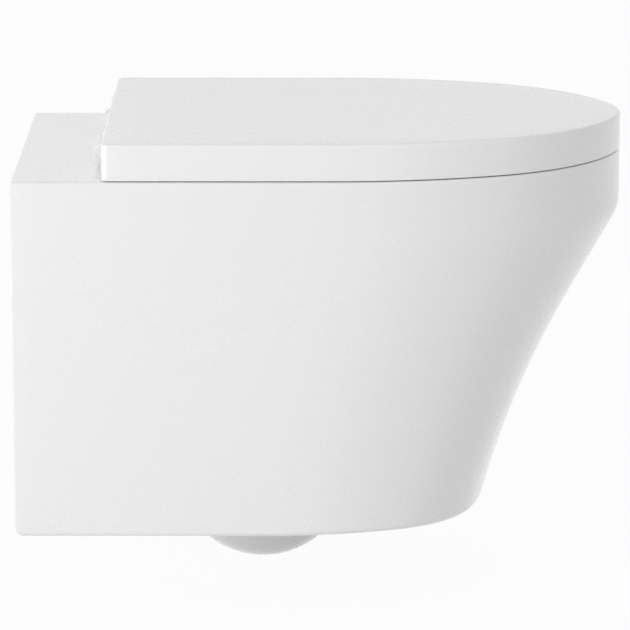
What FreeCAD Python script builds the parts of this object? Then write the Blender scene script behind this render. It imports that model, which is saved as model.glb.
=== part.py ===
"""Wall hung toilet: ceramic pan, slim seat ring, wrap-over lid and two quick-release, soft-close hinges.

Frame, in millimetres: the origin is midway between the two wall fixings, on the wall plane. +X points from the
wall to the front of the pan, +Y to the side and +Z up. The object is symmetric about the plane Y = 0.
"""
import FreeCAD
import Part
import math
import os

Vector = FreeCAD.Vector

# ---------------------------------------------------------------- driving dimensions: ceramic pan
PAN_REACH = 540.0            # wall to the front of the rim
PAN_HALF_WIDTH = 180.0
RIM_ABOVE_FIXINGS = 80.0
PAN_HEIGHT = 318.0           # rim to underside
WALL = 11.0                  # fired thickness of the shroud and band
DECK_THICKNESS = 12.0
CREASE_DEPTH = 52.0          # rim to the line where the front starts to slope
CREASE_RADIUS = 30.0
FRONT_SLOPE = 30.3           # degrees from vertical, just below the crease
KNEE_DEPTH = 124.0           # rim to where the straight slope starts to curl down
FRONT_CURL_RADIUS = 784.0
FOOT_TUCK = 2.0              # how much narrower each side is at the underside
UNDERSIDE_RADIUS = 9.0       # rounding of the lower edge

# plan outlines of the rim and of the underside
SIDE_TURN = 22.5             # degrees turned where the side arc meets the shoulder arc
SHOULDER_TURN = 73.8         # and where the shoulder arc meets the nose arc
RIM_SIDE_RADIUS = 380.0
RIM_SHOULDER_RADIUS = 190.0
FOOT_SIDE_RADIUS = 300.0
FOOT_SHOULDER_RADIUS = 111.5

# bowl
BOWL_FROM_WALL = 165.0       # to the rear of its mouth
BOWL_FRONT_MARGIN = 35.0     # mouth to the outside of the rim
BOWL_SIDE_MARGIN = 35.0
SUMP_ABOVE_UNDERSIDE = 58.0
SUMP_FROM_FRONT = 251.0      # centre of the sump to the front of the rim
SUMP_HALF_LENGTH = 52.0
SUMP_HALF_WIDTH = 43.0
BOWL_WALL = 10.0
BOWL_FULLNESS = 1.15         # how long the sides stay steep before they turn in
OVAL_TURN = 50.0             # degrees turned where the side arcs of an oval meet its end arcs

# trapway and outlet
OUTLET_BELOW_FIXINGS = 100.0
OUTLET_OUTER_RADIUS = 51.0
TRAP_WALL = 10.0
TRAP_BEND_RADIUS = 80.0      # outside of the lower bend
TRAP_BEND_FROM_FRONT = 318.0 # centre of the bend to the front of the rim
TRAP_BEND_BELOW_FIXINGS = 223.0
FRONT_LEG_LEAN = 35.0        # degrees from vertical
REAR_LEG_LEAN = 30.0
CROWN_BEND_RADIUS = 60.0
OUTLET_SETBACK = 6.0         # spigot end behind the wall plane

# water inlet
INLET_ABOVE_FIXINGS = 35.0
INLET_RADIUS = 27.5
INLET_DEPTH = 45.0
INLET_WALL = 8.0
FLUSH_PASSAGE_RADIUS = 16.0

# back wall and wall fixings
FIXING_SPACING = 180.0
FIXING_HOLE_RADIUS = 11.0
STUD_CLEARANCE_RADIUS = 6.5
BUSH_FLANGE_RADIUS = 17.0
BUSH_FLANGE = 3.0
BACK_WALL = 14.0
BACK_WALL_BELOW_FIXINGS = 36.0
BACK_FLANGE_WIDTH = 30.0
BACK_ARCH_RADIUS = 30.0

# ---------------------------------------------------------------- driving dimensions: lid, seat and hinges
LID_REAR = 79.0
LID_GAP = 1.6                # daylight between lid and ceramic
LID_TOP_ABOVE_RIM = 33.4
LID_TOP_THICKNESS = 5.0
LID_SKIRT = 4.0
LID_EDGE_RADIUS = 2.0
LID_CORNER_RADIUS = 6.5
LID_NOTCH_CLEARANCE = 1.5    # above the hinge barrels

SEAT_CLEARANCE = 2.0         # seat ring to lid skirt
SEAT_ABOVE_RIM = 6.0
SEAT_THICKNESS = 18.0
SEAT_REAR = 92.0
SEAT_HOLE_FROM_WALL = 190.0
SEAT_HOLE_FRONT_MARGIN = 70.0    # to the outside of the rim
SEAT_HOLE_SIDE_MARGIN = 72.0
SEAT_HOLE_ROUNDING = 7.0
SEAT_EDGE_ROUNDING = 4.0

HINGE_SPACING = 155.0
HINGE_HOLE_RADIUS = 8.0
HINGE_HOLE_FROM_WALL = 94.0
PIVOT_FROM_WALL = 77.0
PIVOT_ABOVE_RIM = 11.5
BARREL_RADIUS = 7.5
BARREL_LENGTH = 25.0
KNUCKLE_WIDTH = 6.0
SIDE_GAP = 0.3
PIN_RADIUS = 3.0
RUNNING_CLEARANCE = 0.05
DAMPER_RADIUS = 5.4
DAMPER_LENGTH = 20.0
ROTOR_DEPTH = 16.0
ROTOR_FLAT = 2.2             # half distance across the flats of the rotor's end
CAP_RADIUS = 6.2
CAP_THICKNESS = 1.2

GASKET_THICKNESS = 1.0
BASE_THICKNESS = 3.0
BASE_RADIUS = 13.0
POST_RADIUS = 4.5
POST_HEIGHT = 10.0
POST_GROOVE_RADIUS = 3.3
POST_CHAMFER = 1.0
KEY_ACROSS_FLATS = 4.6       # driver socket in the post's head
KEY_DEPTH = 3.0
SCREW_RADIUS = 3.0
SCREW_LENGTH = 36.0
SOCKET_CLEARANCE = 0.3
SOCKET_HEADROOM = 1.2        # above the post's head
FOOT_FRONT = 10.0            # block in front of the post's axis
FOOT_HEIGHT = 13.0
FOOT_EDGE_RADIUS = 2.0
BUTTON_TRAVEL = 2.0
BUTTON_PROUD = 3.5
BUTTON_HALF_WIDTH = 10.5
BUTTON_HEIGHT = 6.0
BUTTON_OVERLAP = 0.5         # of its head inside the foot at rest
BUTTON_EDGE_RADIUS = 1.0
BUTTON_TO_SEAT = 1.5         # from the button's front to the ring's recess
LATCH_THICKNESS = 2.0
LATCH_HALF_WIDTH = 6.5
LATCH_ABOVE_BASE = 4.2
SPRING_RADIUS = 1.5
SPRING_WIRE = 0.5
SPRING_POCKET = 8.0
SLEEVE_BULGE_RADIUS = 10.0
SLEEVE_LENGTH = 24.0
NUT_ACROSS_FLATS = 13.0
NUT_HEIGHT = 6.0

REST_GAP = 0.3
BUFFER_RADIUS = 8.0
BUFFER_PLUG_RADIUS = 2.5
BUFFER_PLUG_LENGTH = 5.0
LID_BUFFER_RADIUS = 6.0
REAR_BUFFERS_FROM_WALL = 150.0
REAR_BUFFERS_FROM_SIDE = 42.0
FRONT_BUFFERS_FROM_FRONT = 110.0
FRONT_BUFFERS_FROM_SIDE = 49.0
REAR_LID_BUFFERS_FROM_WALL = 135.0
REAR_LID_BUFFERS_FROM_SIDE = 50.0
FRONT_LID_BUFFERS_FROM_FRONT = 100.0
FRONT_LID_BUFFERS_FROM_SIDE = 65.0

# ---------------------------------------------------------------- levels and places that follow
RIM = RIM_ABOVE_FIXINGS
UNDERSIDE = RIM - PAN_HEIGHT
FOOT_HALF_WIDTH = PAN_HALF_WIDTH - FOOT_TUCK
BOWL_HALF_LENGTH = (PAN_REACH - BOWL_FRONT_MARGIN - BOWL_FROM_WALL) / 2
BOWL_CENTRE = BOWL_FROM_WALL + BOWL_HALF_LENGTH
BOWL_HALF_WIDTH = PAN_HALF_WIDTH - BOWL_SIDE_MARGIN
BOWL_DEPTH = PAN_HEIGHT - SUMP_ABOVE_UNDERSIDE
SUMP_CENTRE = PAN_REACH - SUMP_FROM_FRONT
TRAP_BEND_CENTRE = PAN_REACH - TRAP_BEND_FROM_FRONT
DECK_UNDER = RIM - DECK_THICKNESS
LID_BOTTOM = RIM + LID_GAP
LID_TOP = RIM + LID_TOP_ABOVE_RIM
LID_CEILING = LID_TOP - LID_TOP_THICKNESS
SEAT_BOTTOM = RIM + SEAT_ABOVE_RIM
SEAT_TOP = SEAT_BOTTOM + SEAT_THICKNESS
SEAT_HOLE_HALF_LENGTH = (PAN_REACH - SEAT_HOLE_FRONT_MARGIN - SEAT_HOLE_FROM_WALL) / 2
SEAT_HOLE_CENTRE = SEAT_HOLE_FROM_WALL + SEAT_HOLE_HALF_LENGTH
SEAT_HOLE_HALF_WIDTH = PAN_HALF_WIDTH - SEAT_HOLE_SIDE_MARGIN
REAR_BUFFERS = (REAR_BUFFERS_FROM_WALL, PAN_HALF_WIDTH - REAR_BUFFERS_FROM_SIDE)
FRONT_BUFFERS = (PAN_REACH - FRONT_BUFFERS_FROM_FRONT, PAN_HALF_WIDTH - FRONT_BUFFERS_FROM_SIDE)
REAR_LID_BUFFERS = (REAR_LID_BUFFERS_FROM_WALL, PAN_HALF_WIDTH - REAR_LID_BUFFERS_FROM_SIDE)
FRONT_LID_BUFFERS = (PAN_REACH - FRONT_LID_BUFFERS_FROM_FRONT, PAN_HALF_WIDTH - FRONT_LID_BUFFERS_FROM_SIDE)
PIVOT = RIM + PIVOT_ABOVE_RIM
BASE_TOP = RIM + GASKET_THICKNESS + BASE_THICKNESS
HINGE_Y = HINGE_SPACING / 2
BARREL_INNER = HINGE_Y - BARREL_LENGTH / 2
BARREL_OUTER = HINGE_Y + BARREL_LENGTH / 2
FOOT_FRONT_X = HINGE_HOLE_FROM_WALL + FOOT_FRONT
BUTTON_FRONT_X = FOOT_FRONT_X + BUTTON_PROUD
BUTTON_DEPTH = BUTTON_PROUD + BUTTON_OVERLAP
SEAT_RECESS_X = BUTTON_FRONT_X + BUTTON_TO_SEAT
SPRING_Y = (LATCH_HALF_WIDTH + SOCKET_CLEARANCE + BUTTON_HALF_WIDTH) / 2
LATCH_Z = BASE_TOP + LATCH_ABOVE_BASE
OVERRUN = 1.0                # how far cutting shapes run past the faces that they cut
TINY = 0.01                  # allowance when an edge is found by its place
HALF_TURN = 180.0            # degrees


# ---------------------------------------------------------------- small helpers
def box(x0, x1, y0, y1, z0, z1):
    """A block between two corners."""
    return Part.makeBox(x1 - x0, y1 - y0, z1 - z0, Vector(x0, y0, z0))


def rod_x(radius, x0, x1, y, z):
    return Part.makeCylinder(radius, x1 - x0, Vector(x0, y, z), Vector(1, 0, 0))


def rod_y(radius, y0, y1, x, z):
    return Part.makeCylinder(radius, y1 - y0, Vector(x, y0, z), Vector(0, 1, 0))


def rod_z(radius, z0, z1, x, y):
    return Part.makeCylinder(radius, z1 - z0, Vector(x, y, z0), Vector(0, 0, 1))


def mirrored(shape):
    """The same piece on the other side of the centre plane."""
    return shape.mirror(Vector(0, 0, 0), Vector(0, 1, 0))


def both_sides(shape):
    return shape.fuse(mirrored(shape))


def merged(shape):
    """One solid with its coplanar faces joined."""
    shape = shape.removeSplitter()
    return shape.Solids[0] if len(shape.Solids) == 1 else shape


def save(shape, node):
    shape.exportStep(os.path.join("parts", node + ".step"))


# ---------------------------------------------------------------- plan outlines
def outline(level, rear, inset, reach, half_width, side, shoulder):
    """Closed wire of a plan outline at a level, moved in by an inset all round except at the rear.

    Each side runs straight from the rear, then along a side arc, a shoulder arc and a nose arc that meet where
    the outline has turned by SIDE_TURN and SHOULDER_TURN. The nose radius and the length of the straight follow
    from the half width and the reach. As all outlines turn by the same angles, a loft between any two is smooth.
    """
    sin_side = math.sin(math.radians(SIDE_TURN))
    cos_side = math.cos(math.radians(SIDE_TURN))
    sin_shoulder = math.sin(math.radians(SHOULDER_TURN))
    cos_shoulder = math.cos(math.radians(SHOULDER_TURN))
    nose = (half_width - side * (1 - cos_side) - shoulder * (cos_side - cos_shoulder)) / cos_shoulder
    straight = reach - side * sin_side - shoulder * (sin_shoulder - sin_side) - nose * (1 - sin_shoulder)
    side_centre = Vector(straight, half_width - side, level)
    shoulder_centre = side_centre + Vector(sin_side, cos_side, 0) * (side - shoulder)
    nose_centre = shoulder_centre + Vector(sin_shoulder, cos_shoulder, 0) * (shoulder - nose)

    def arc(centre, radius, start, end):
        angles = [math.radians(angle) for angle in (start, (start + end) / 2, end)]
        return [centre + Vector(math.sin(angle), math.cos(angle), 0) * (radius - inset) for angle in angles]

    def flip(point):
        return Vector(point.x, -point.y, point.z)

    side_arc = arc(side_centre, side, 0, SIDE_TURN)
    shoulder_arc = arc(shoulder_centre, shoulder, SIDE_TURN, SHOULDER_TURN)
    nose_arc = arc(nose_centre, nose, SHOULDER_TURN, HALF_TURN - SHOULDER_TURN)
    corner = Vector(rear, half_width - inset, level)
    edges = [Part.LineSegment(flip(corner), corner), Part.LineSegment(corner, side_arc[0])]
    edges += [Part.Arc(*side_arc), Part.Arc(*shoulder_arc), Part.Arc(*nose_arc)]
    edges += [Part.Arc(*[flip(point) for point in reversed(points)]) for points in (shoulder_arc, side_arc)]
    edges += [Part.LineSegment(flip(side_arc[0]), flip(corner))]
    return Part.Wire([edge.toShape() for edge in edges])


def rim_outline(level, rear=0.0, inset=0.0):
    return outline(level, rear, inset, PAN_REACH, PAN_HALF_WIDTH, RIM_SIDE_RADIUS, RIM_SHOULDER_RADIUS)


def prism(wire, height):
    return Part.Face(wire).extrude(Vector(0, 0, height))


# ---------------------------------------------------------------- front profile of the shroud
SLOPE = math.radians(FRONT_SLOPE)
BLEND_START = CREASE_DEPTH - CREASE_RADIUS * math.tan(SLOPE / 2)
BLEND_END = CREASE_DEPTH + CREASE_RADIUS * math.tan(SLOPE / 2) * math.cos(SLOPE)


def front_setback(depth):
    """How far the front has drawn back from the rim's reach, at a depth below the rim.

    Upright to the blend, then an arc of CREASE_RADIUS, a straight slope to the knee, and an arc of
    FRONT_CURL_RADIUS that turns back towards the vertical.
    """
    if depth <= BLEND_START:
        return 0.0
    if depth <= BLEND_END:
        turned = math.asin((depth - BLEND_START) / CREASE_RADIUS)
        return CREASE_RADIUS * (1 - math.cos(turned))
    setback = (min(depth, KNEE_DEPTH) - CREASE_DEPTH) * math.tan(SLOPE)
    if depth > KNEE_DEPTH:
        lean = math.asin(math.sin(SLOPE) - (depth - KNEE_DEPTH) / FRONT_CURL_RADIUS)
        setback += FRONT_CURL_RADIUS * (math.cos(lean) - math.cos(SLOPE))
    return setback


def shroud_outline(depth, inset=0.0):
    """Plan outline of the shroud: it changes from the rim's to the underside's as the front draws back."""
    share = front_setback(depth) / front_setback(PAN_HEIGHT)

    def blend(rim_size, foot_size):
        return rim_size + (foot_size - rim_size) * share

    return outline(RIM - depth, 0.0, inset,
                   PAN_REACH - front_setback(depth),
                   blend(PAN_HALF_WIDTH, FOOT_HALF_WIDTH),
                   blend(RIM_SIDE_RADIUS, FOOT_SIDE_RADIUS),
                   blend(RIM_SHOULDER_RADIUS, FOOT_SHOULDER_RADIUS))


def stations(first, last, count):
    return [first + (last - first) * step / count for step in range(count + 1)]


def shroud_body(inset=0.0, rounding=0.0):
    """Solid of the shroud from the band down: lofts round the crease, down the slope and round the lower edge."""
    crease = [shroud_outline(depth, inset) for depth in stations(BLEND_START, BLEND_END, 3)]
    lower = [shroud_outline(BLEND_END, inset)]
    lower += [shroud_outline(depth, inset) for depth in stations(KNEE_DEPTH, PAN_HEIGHT - rounding, 4)]
    body = Part.makeLoft(crease, True).fuse(Part.makeLoft(lower, True))
    if rounding:
        turns = [math.radians(angle) for angle in stations(0, 90, 3)]
        edge = [shroud_outline(PAN_HEIGHT - rounding * (1 - math.sin(turn)), inset + rounding * (1 - math.cos(turn)))
                for turn in turns]
        body = body.fuse(Part.makeLoft(edge, True))
    return body


def oval(level, centre, half_length, half_width):
    """Closed wire of an oval: side arcs and end arcs that meet where the outline has turned by OVAL_TURN.

    The two radii are the ones that give the half length and the half width.
    """
    sine = math.sin(math.radians(OVAL_TURN))
    cosine = math.cos(math.radians(OVAL_TURN))
    scale = sine + cosine - 1
    side = (half_length * cosine - half_width * (1 - sine)) / scale
    end = (half_width * sine - half_length * (1 - cosine)) / scale
    points = []
    for quarter_start, centre_x, centre_y, radius in (
            (-OVAL_TURN, 0, half_width - side, side), (OVAL_TURN, half_length - end, 0, end),
            (HALF_TURN - OVAL_TURN, 0, side - half_width, side),
            (HALF_TURN + OVAL_TURN, end - half_length, 0, end)):
        sweep = 2 * OVAL_TURN if centre_x == 0 else HALF_TURN - 2 * OVAL_TURN
        arc = []
        for angle in stations(quarter_start, quarter_start + sweep, 2):
            turn = math.radians(angle)
            arc.append(Vector(centre + centre_x + radius * math.sin(turn), centre_y + radius * math.cos(turn), level))
        points.append(arc)
    return Part.Wire([Part.Arc(*arc).toShape() for arc in points])


# ---------------------------------------------------------------- bowl and trapway bodies
def bowl_body(wall=0.0):
    """Loft of ovals from the mouth to the sump, made larger all round by a wall."""
    sections = []
    for share in stations(0, 1, 5):
        full = math.cos(math.pi / 2 * share ** BOWL_FULLNESS)
        half_length = SUMP_HALF_LENGTH + (BOWL_HALF_LENGTH - SUMP_HALF_LENGTH) * full + wall
        half_width = SUMP_HALF_WIDTH + (BOWL_HALF_WIDTH - SUMP_HALF_WIDTH) * full + wall
        centre = SUMP_CENTRE + (BOWL_CENTRE - SUMP_CENTRE) * full
        level = RIM - (BOWL_DEPTH + wall) * share
        sections.append(oval(level, centre, half_length, half_width))
    return Part.makeLoft(sections, True)


def pipe_sector(middle, centreline, radius, start, end):
    """Part of a bent pipe: a disc at a distance from the bend's middle, swept from one angle to another.

    Angles are degrees from straight down, positive to the front. A disc that reaches past the middle is cut
    off there, as where two legs of a trap close up on each other.
    """
    disc = Part.Face(Part.Wire([Part.Circle(Vector(middle.x, 0, middle.z - centreline),
                                            Vector(1, 0, 0), radius).toShape()]))
    reach = centreline + radius
    window = Part.Face(Part.makePolygon([
        Vector(middle.x, -reach, middle.z), Vector(middle.x, reach, middle.z),
        Vector(middle.x, reach, middle.z - 2 * reach), Vector(middle.x, -reach, middle.z - 2 * reach),
        Vector(middle.x, -reach, middle.z)]))
    section = disc.common(window)
    section.rotate(middle, Vector(0, -1, 0), start)
    return section.revolve(middle, Vector(0, -1, 0), end - start)


def trap_body(radius):
    """Front leg, lower bend, rear leg, crown and outlet as one solid of the given radius."""
    middle = Vector(TRAP_BEND_CENTRE, 0, -TRAP_BEND_BELOW_FIXINGS)
    centreline = TRAP_BEND_RADIUS - OUTLET_OUTER_RADIUS
    front_turn = 90 - FRONT_LEG_LEAN
    rear_turn = -(90 - REAR_LEG_LEAN)
    front_lean = math.radians(FRONT_LEG_LEAN)
    rear_lean = math.radians(REAR_LEG_LEAN)
    bend = pipe_sector(middle, centreline, radius, rear_turn, front_turn)

    front_start = middle + Vector(math.cos(front_lean), 0, -math.sin(front_lean)) * centreline
    front_direction = Vector(math.sin(front_lean), 0, math.cos(front_lean))
    front_rise = RIM - BOWL_DEPTH + BOWL_WALL - front_start.z
    front_leg = Part.makeCylinder(radius, front_rise / math.cos(front_lean), front_start, front_direction)

    rear_start = middle + Vector(-math.cos(rear_lean), 0, -math.sin(rear_lean)) * centreline
    rear_direction = Vector(-math.sin(rear_lean), 0, math.cos(rear_lean))
    corner_rise = -OUTLET_BELOW_FIXINGS - rear_start.z
    corner = rear_start + rear_direction * (corner_rise / math.cos(rear_lean))
    tangent = CROWN_BEND_RADIUS * math.tan((math.pi / 2 - rear_lean) / 2)
    crown_start = corner - rear_direction * tangent
    rear_leg = Part.makeCylinder(radius, (crown_start - rear_start).Length, rear_start, rear_direction)

    crown_end = corner - Vector(tangent, 0, 0)
    crown_middle = crown_end - Vector(0, 0, CROWN_BEND_RADIUS)
    disc = Part.Face(Part.Wire([Part.Circle(crown_end, Vector(1, 0, 0), radius).toShape()]))
    crown = disc.revolve(crown_middle, Vector(0, 1, 0), 90 - REAR_LEG_LEAN)
    outlet = rod_x(radius, OUTLET_SETBACK, crown_end.x, 0, crown_end.z)
    return bend.multiFuse([front_leg, rear_leg, crown, outlet])


def make_pan():
    bowl_outer = bowl_body(BOWL_WALL)
    bowl_inner = bowl_body()
    deck_slab = prism(rim_outline(DECK_UNDER), DECK_THICKNESS)

    # rim: the deck with the upright band under it, open over the bowl and drilled for the seat
    blend_level = RIM - BLEND_START
    band = prism(rim_outline(blend_level), DECK_UNDER - blend_level)
    band_hollow = prism(rim_outline(blend_level - OVERRUN, -OVERRUN, WALL), DECK_UNDER - blend_level + OVERRUN)
    band = band.cut(band_hollow)
    rim = deck_slab.fuse(band)
    rim = rim.cut(bowl_inner)
    for side in (1, -1):
        rim = rim.cut(rod_z(HINGE_HOLE_RADIUS, DECK_UNDER - OVERRUN, RIM + OVERRUN,
                            HINGE_HOLE_FROM_WALL, side * HINGE_Y))
    save(merged(rim), "pan_rim")

    # shroud: thin shell, open below and behind
    outer = shroud_body(0.0, UNDERSIDE_RADIUS)
    inner = shroud_body(WALL)
    shroud = outer.cut(inner)
    save(merged(shroud), "pan_shroud")

    # trapway: bent pipe from the sump to the outlet spigot
    channel = trap_body(OUTLET_OUTER_RADIUS - TRAP_WALL)
    trap = trap_body(OUTLET_OUTER_RADIUS).cut(bowl_outer).cut(channel)
    save(merged(trap), "pan_trapway")

    # back wall: fixing plate, inlet hole and the flanges that bear on the wall
    plate = box(0, BACK_WALL, -PAN_HALF_WIDTH, PAN_HALF_WIDTH, UNDERSIDE + UNDERSIDE_RADIUS, DECK_UNDER)
    plate = plate.common(inner.fuse(band_hollow))
    open_half = FOOT_HALF_WIDTH - WALL - BACK_FLANGE_WIDTH
    gap = box(-OVERRUN, BACK_WALL + OVERRUN, -open_half, open_half, UNDERSIDE - OVERRUN,
              -BACK_WALL_BELOW_FIXINGS)
    corners = [edge for edge in gap.Edges
               if edge.BoundBox.ZMin > -BACK_WALL_BELOW_FIXINGS - OVERRUN and edge.BoundBox.XLength > BACK_WALL]
    gap = gap.makeFillet(BACK_ARCH_RADIUS, corners)
    plate = plate.cut(gap)
    plate = plate.cut(rod_x(INLET_RADIUS, -OVERRUN, BACK_WALL + OVERRUN, 0, INLET_ABOVE_FIXINGS))
    for side in (1, -1):
        plate = plate.cut(rod_x(FIXING_HOLE_RADIUS, -OVERRUN, BACK_WALL + OVERRUN,
                                side * FIXING_SPACING / 2, 0))
    save(merged(plate), "pan_back_wall")

    # inlet: socket for the flush pipe, then a passage into the bowl
    socket = rod_x(INLET_RADIUS + INLET_WALL, BACK_WALL, BOWL_CENTRE, 0, INLET_ABOVE_FIXINGS)
    socket = socket.cut(bowl_outer).cut(deck_slab)
    socket = max(socket.Solids, key=lambda solid: -solid.CenterOfMass.x)
    passage = rod_x(FLUSH_PASSAGE_RADIUS, BACK_WALL, BOWL_CENTRE, 0, INLET_ABOVE_FIXINGS)
    socket = socket.cut(passage)
    socket = socket.cut(rod_x(INLET_RADIUS, 0, INLET_DEPTH, 0, INLET_ABOVE_FIXINGS))
    save(merged(socket), "pan_inlet")

    # bowl: from under the deck to the sump, open to the trapway and to the flush passage
    bowl = bowl_outer.cut(bowl_inner).cut(channel).cut(passage).cut(deck_slab)
    save(merged(bowl), "pan_bowl")


def make_bushes():
    """Flanged plastic bushes that line the two fixing holes from inside the pan."""
    for name, side in (("left", 1), ("right", -1)):
        y = side * FIXING_SPACING / 2
        bush = rod_x(FIXING_HOLE_RADIUS - RUNNING_CLEARANCE, 0, BACK_WALL, y, 0)
        bush = bush.fuse(rod_x(BUSH_FLANGE_RADIUS, BACK_WALL, BACK_WALL + BUSH_FLANGE, y, 0))
        bush = bush.cut(rod_x(STUD_CLEARANCE_RADIUS, -OVERRUN, BACK_WALL + BUSH_FLANGE + OVERRUN, y, 0))
        save(merged(bush), "fixing_bush_" + name)


# ---------------------------------------------------------------- lid
def make_lid():
    shell = prism(rim_outline(LID_BOTTOM, LID_REAR), LID_TOP - LID_BOTTOM)
    upright = [edge for edge in shell.Edges
               if edge.BoundBox.XMax < LID_REAR + TINY and edge.BoundBox.ZLength > LID_TOP_THICKNESS]
    shell = shell.makeFillet(LID_CORNER_RADIUS, upright)
    top_edges = [edge for edge in shell.Edges if edge.BoundBox.ZMin > LID_TOP - TINY]
    shell = shell.makeFillet(LID_EDGE_RADIUS, top_edges)
    hollow = prism(rim_outline(LID_BOTTOM - OVERRUN, LID_REAR + LID_SKIRT, LID_SKIRT),
                   LID_CEILING - LID_BOTTOM + OVERRUN)
    shell = shell.cut(hollow)

    # openings in the rear wall for the seat knuckles and barrels
    notch_low = BARREL_INNER - KNUCKLE_WIDTH - 2 * SIDE_GAP
    notch = box(LID_REAR - OVERRUN, LID_REAR + LID_SKIRT + OVERRUN, notch_low, BARREL_OUTER + SIDE_GAP,
                LID_BOTTOM - OVERRUN, PIVOT + BARREL_RADIUS + LID_NOTCH_CLEARANCE)
    shell = shell.cut(notch).cut(mirrored(notch))

    # knuckles on the pivot line, outside the barrels
    inner_face = BARREL_OUTER + SIDE_GAP
    outer_face = inner_face + KNUCKLE_WIDTH
    knuckle = rod_y(BARREL_RADIUS, inner_face, outer_face, PIVOT_FROM_WALL, PIVOT)
    cheek = box(PIVOT_FROM_WALL, SEAT_REAR - SEAT_CLEARANCE, inner_face, outer_face, PIVOT, LID_CEILING)
    knuckle = knuckle.fuse(cheek)
    shell = shell.fuse(both_sides(knuckle))

    # left: the rotor's flats drive the lid; right: the lid turns on a round stub
    bore = rod_y(PIN_RADIUS + RUNNING_CLEARANCE, -outer_face - OVERRUN, -inner_face + SIDE_GAP / 2,
                 PIVOT_FROM_WALL, PIVOT)
    shell = shell.cut(bore).cut(rotor_end(inner_face - SIDE_GAP / 2, outer_face + OVERRUN, RUNNING_CLEARANCE))
    counterbore = rod_y(CAP_RADIUS + RUNNING_CLEARANCE, outer_face - CAP_THICKNESS, outer_face + OVERRUN,
                        PIVOT_FROM_WALL, PIVOT)
    shell = shell.cut(counterbore).cut(mirrored(counterbore))
    save(merged(shell), "lid")

    for name, place in (("rear", REAR_LID_BUFFERS), ("front", FRONT_LID_BUFFERS)):
        pad = rod_z(LID_BUFFER_RADIUS, SEAT_TOP + REST_GAP, LID_CEILING, place[0], place[1])
        save(pad, "lid_buffer_%s_left" % name)
        save(mirrored(pad), "lid_buffer_%s_right" % name)


def rotor_end(y0, y1, clearance=0.0):
    """Round bar with two flats, on the pivot line."""
    flat = ROTOR_FLAT + clearance
    return rod_y(PIN_RADIUS + clearance, y0, y1, PIVOT_FROM_WALL, PIVOT).common(
        box(PIVOT_FROM_WALL - 2 * PIN_RADIUS, PIVOT_FROM_WALL + 2 * PIN_RADIUS, y0, y1, PIVOT - flat, PIVOT + flat))


# ---------------------------------------------------------------- seat ring
def make_seat():
    inset = LID_SKIRT + SEAT_CLEARANCE
    ring = prism(rim_outline(SEAT_BOTTOM, SEAT_REAR, inset), SEAT_THICKNESS)
    outer_top = [edge for edge in ring.Edges
                 if edge.BoundBox.ZMin > SEAT_TOP - TINY and edge.BoundBox.XMax > SEAT_REAR + TINY]
    ring = ring.makeFillet(SEAT_EDGE_ROUNDING, outer_top)
    hole = oval(SEAT_BOTTOM - OVERRUN, SEAT_HOLE_CENTRE, SEAT_HOLE_HALF_LENGTH, SEAT_HOLE_HALF_WIDTH)
    ring = ring.cut(prism(hole, SEAT_THICKNESS + 2 * OVERRUN))
    hole_front = SEAT_HOLE_CENTRE + SEAT_HOLE_HALF_LENGTH + TINY
    hole_top = [edge for edge in ring.Edges
                if edge.BoundBox.ZMin > SEAT_TOP - TINY and edge.BoundBox.XMax < hole_front
                and edge.BoundBox.XMin > SEAT_HOLE_CENTRE - SEAT_HOLE_HALF_LENGTH - TINY]
    ring = ring.makeFillet(SEAT_HOLE_ROUNDING, hole_top)

    # recesses round the hinge feet
    half = BARREL_LENGTH / 2 + SIDE_GAP
    recess = box(SEAT_REAR - OVERRUN, SEAT_RECESS_X, HINGE_Y - half, HINGE_Y + half,
                 SEAT_BOTTOM - OVERRUN, SEAT_TOP + OVERRUN)
    ring = ring.cut(recess).cut(mirrored(recess))

    # knuckles on the pivot line, inside the barrels
    outer_face = BARREL_INNER - SIDE_GAP
    inner_face = outer_face - KNUCKLE_WIDTH
    knuckle = rod_y(BARREL_RADIUS, inner_face, outer_face, PIVOT_FROM_WALL, PIVOT)
    arm = box(PIVOT_FROM_WALL, SEAT_REAR + BARREL_RADIUS, inner_face, outer_face,
              SEAT_BOTTOM, PIVOT + BARREL_RADIUS)
    knuckle = knuckle.fuse(arm)
    ring = ring.fuse(both_sides(knuckle))
    bore = rod_y(PIN_RADIUS + RUNNING_CLEARANCE, inner_face - OVERRUN, outer_face + SIDE_GAP / 2,
                 PIVOT_FROM_WALL, PIVOT)
    ring = ring.cut(bore)
    flats = rotor_end(inner_face - OVERRUN, outer_face + SIDE_GAP / 2, RUNNING_CLEARANCE)
    ring = ring.cut(mirrored(flats))

    pads = {}
    for name, place in (("rear", REAR_BUFFERS), ("front", FRONT_BUFFERS)):
        plug = rod_z(BUFFER_PLUG_RADIUS, SEAT_BOTTOM, SEAT_BOTTOM + BUFFER_PLUG_LENGTH, place[0], place[1])
        hole = rod_z(BUFFER_PLUG_RADIUS + RUNNING_CLEARANCE, SEAT_BOTTOM - OVERRUN,
                     SEAT_BOTTOM + BUFFER_PLUG_LENGTH, place[0], place[1])
        ring = ring.cut(hole).cut(mirrored(hole))
        foot = rod_z(BUFFER_RADIUS, RIM + REST_GAP, SEAT_BOTTOM, place[0], place[1])
        pads[name] = merged(foot.fuse(plug))
    save(merged(ring), "seat_ring")
    for name, pad in pads.items():
        save(pad, "seat_buffer_%s_left" % name)
        save(mirrored(pad), "seat_buffer_%s_right" % name)


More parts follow.
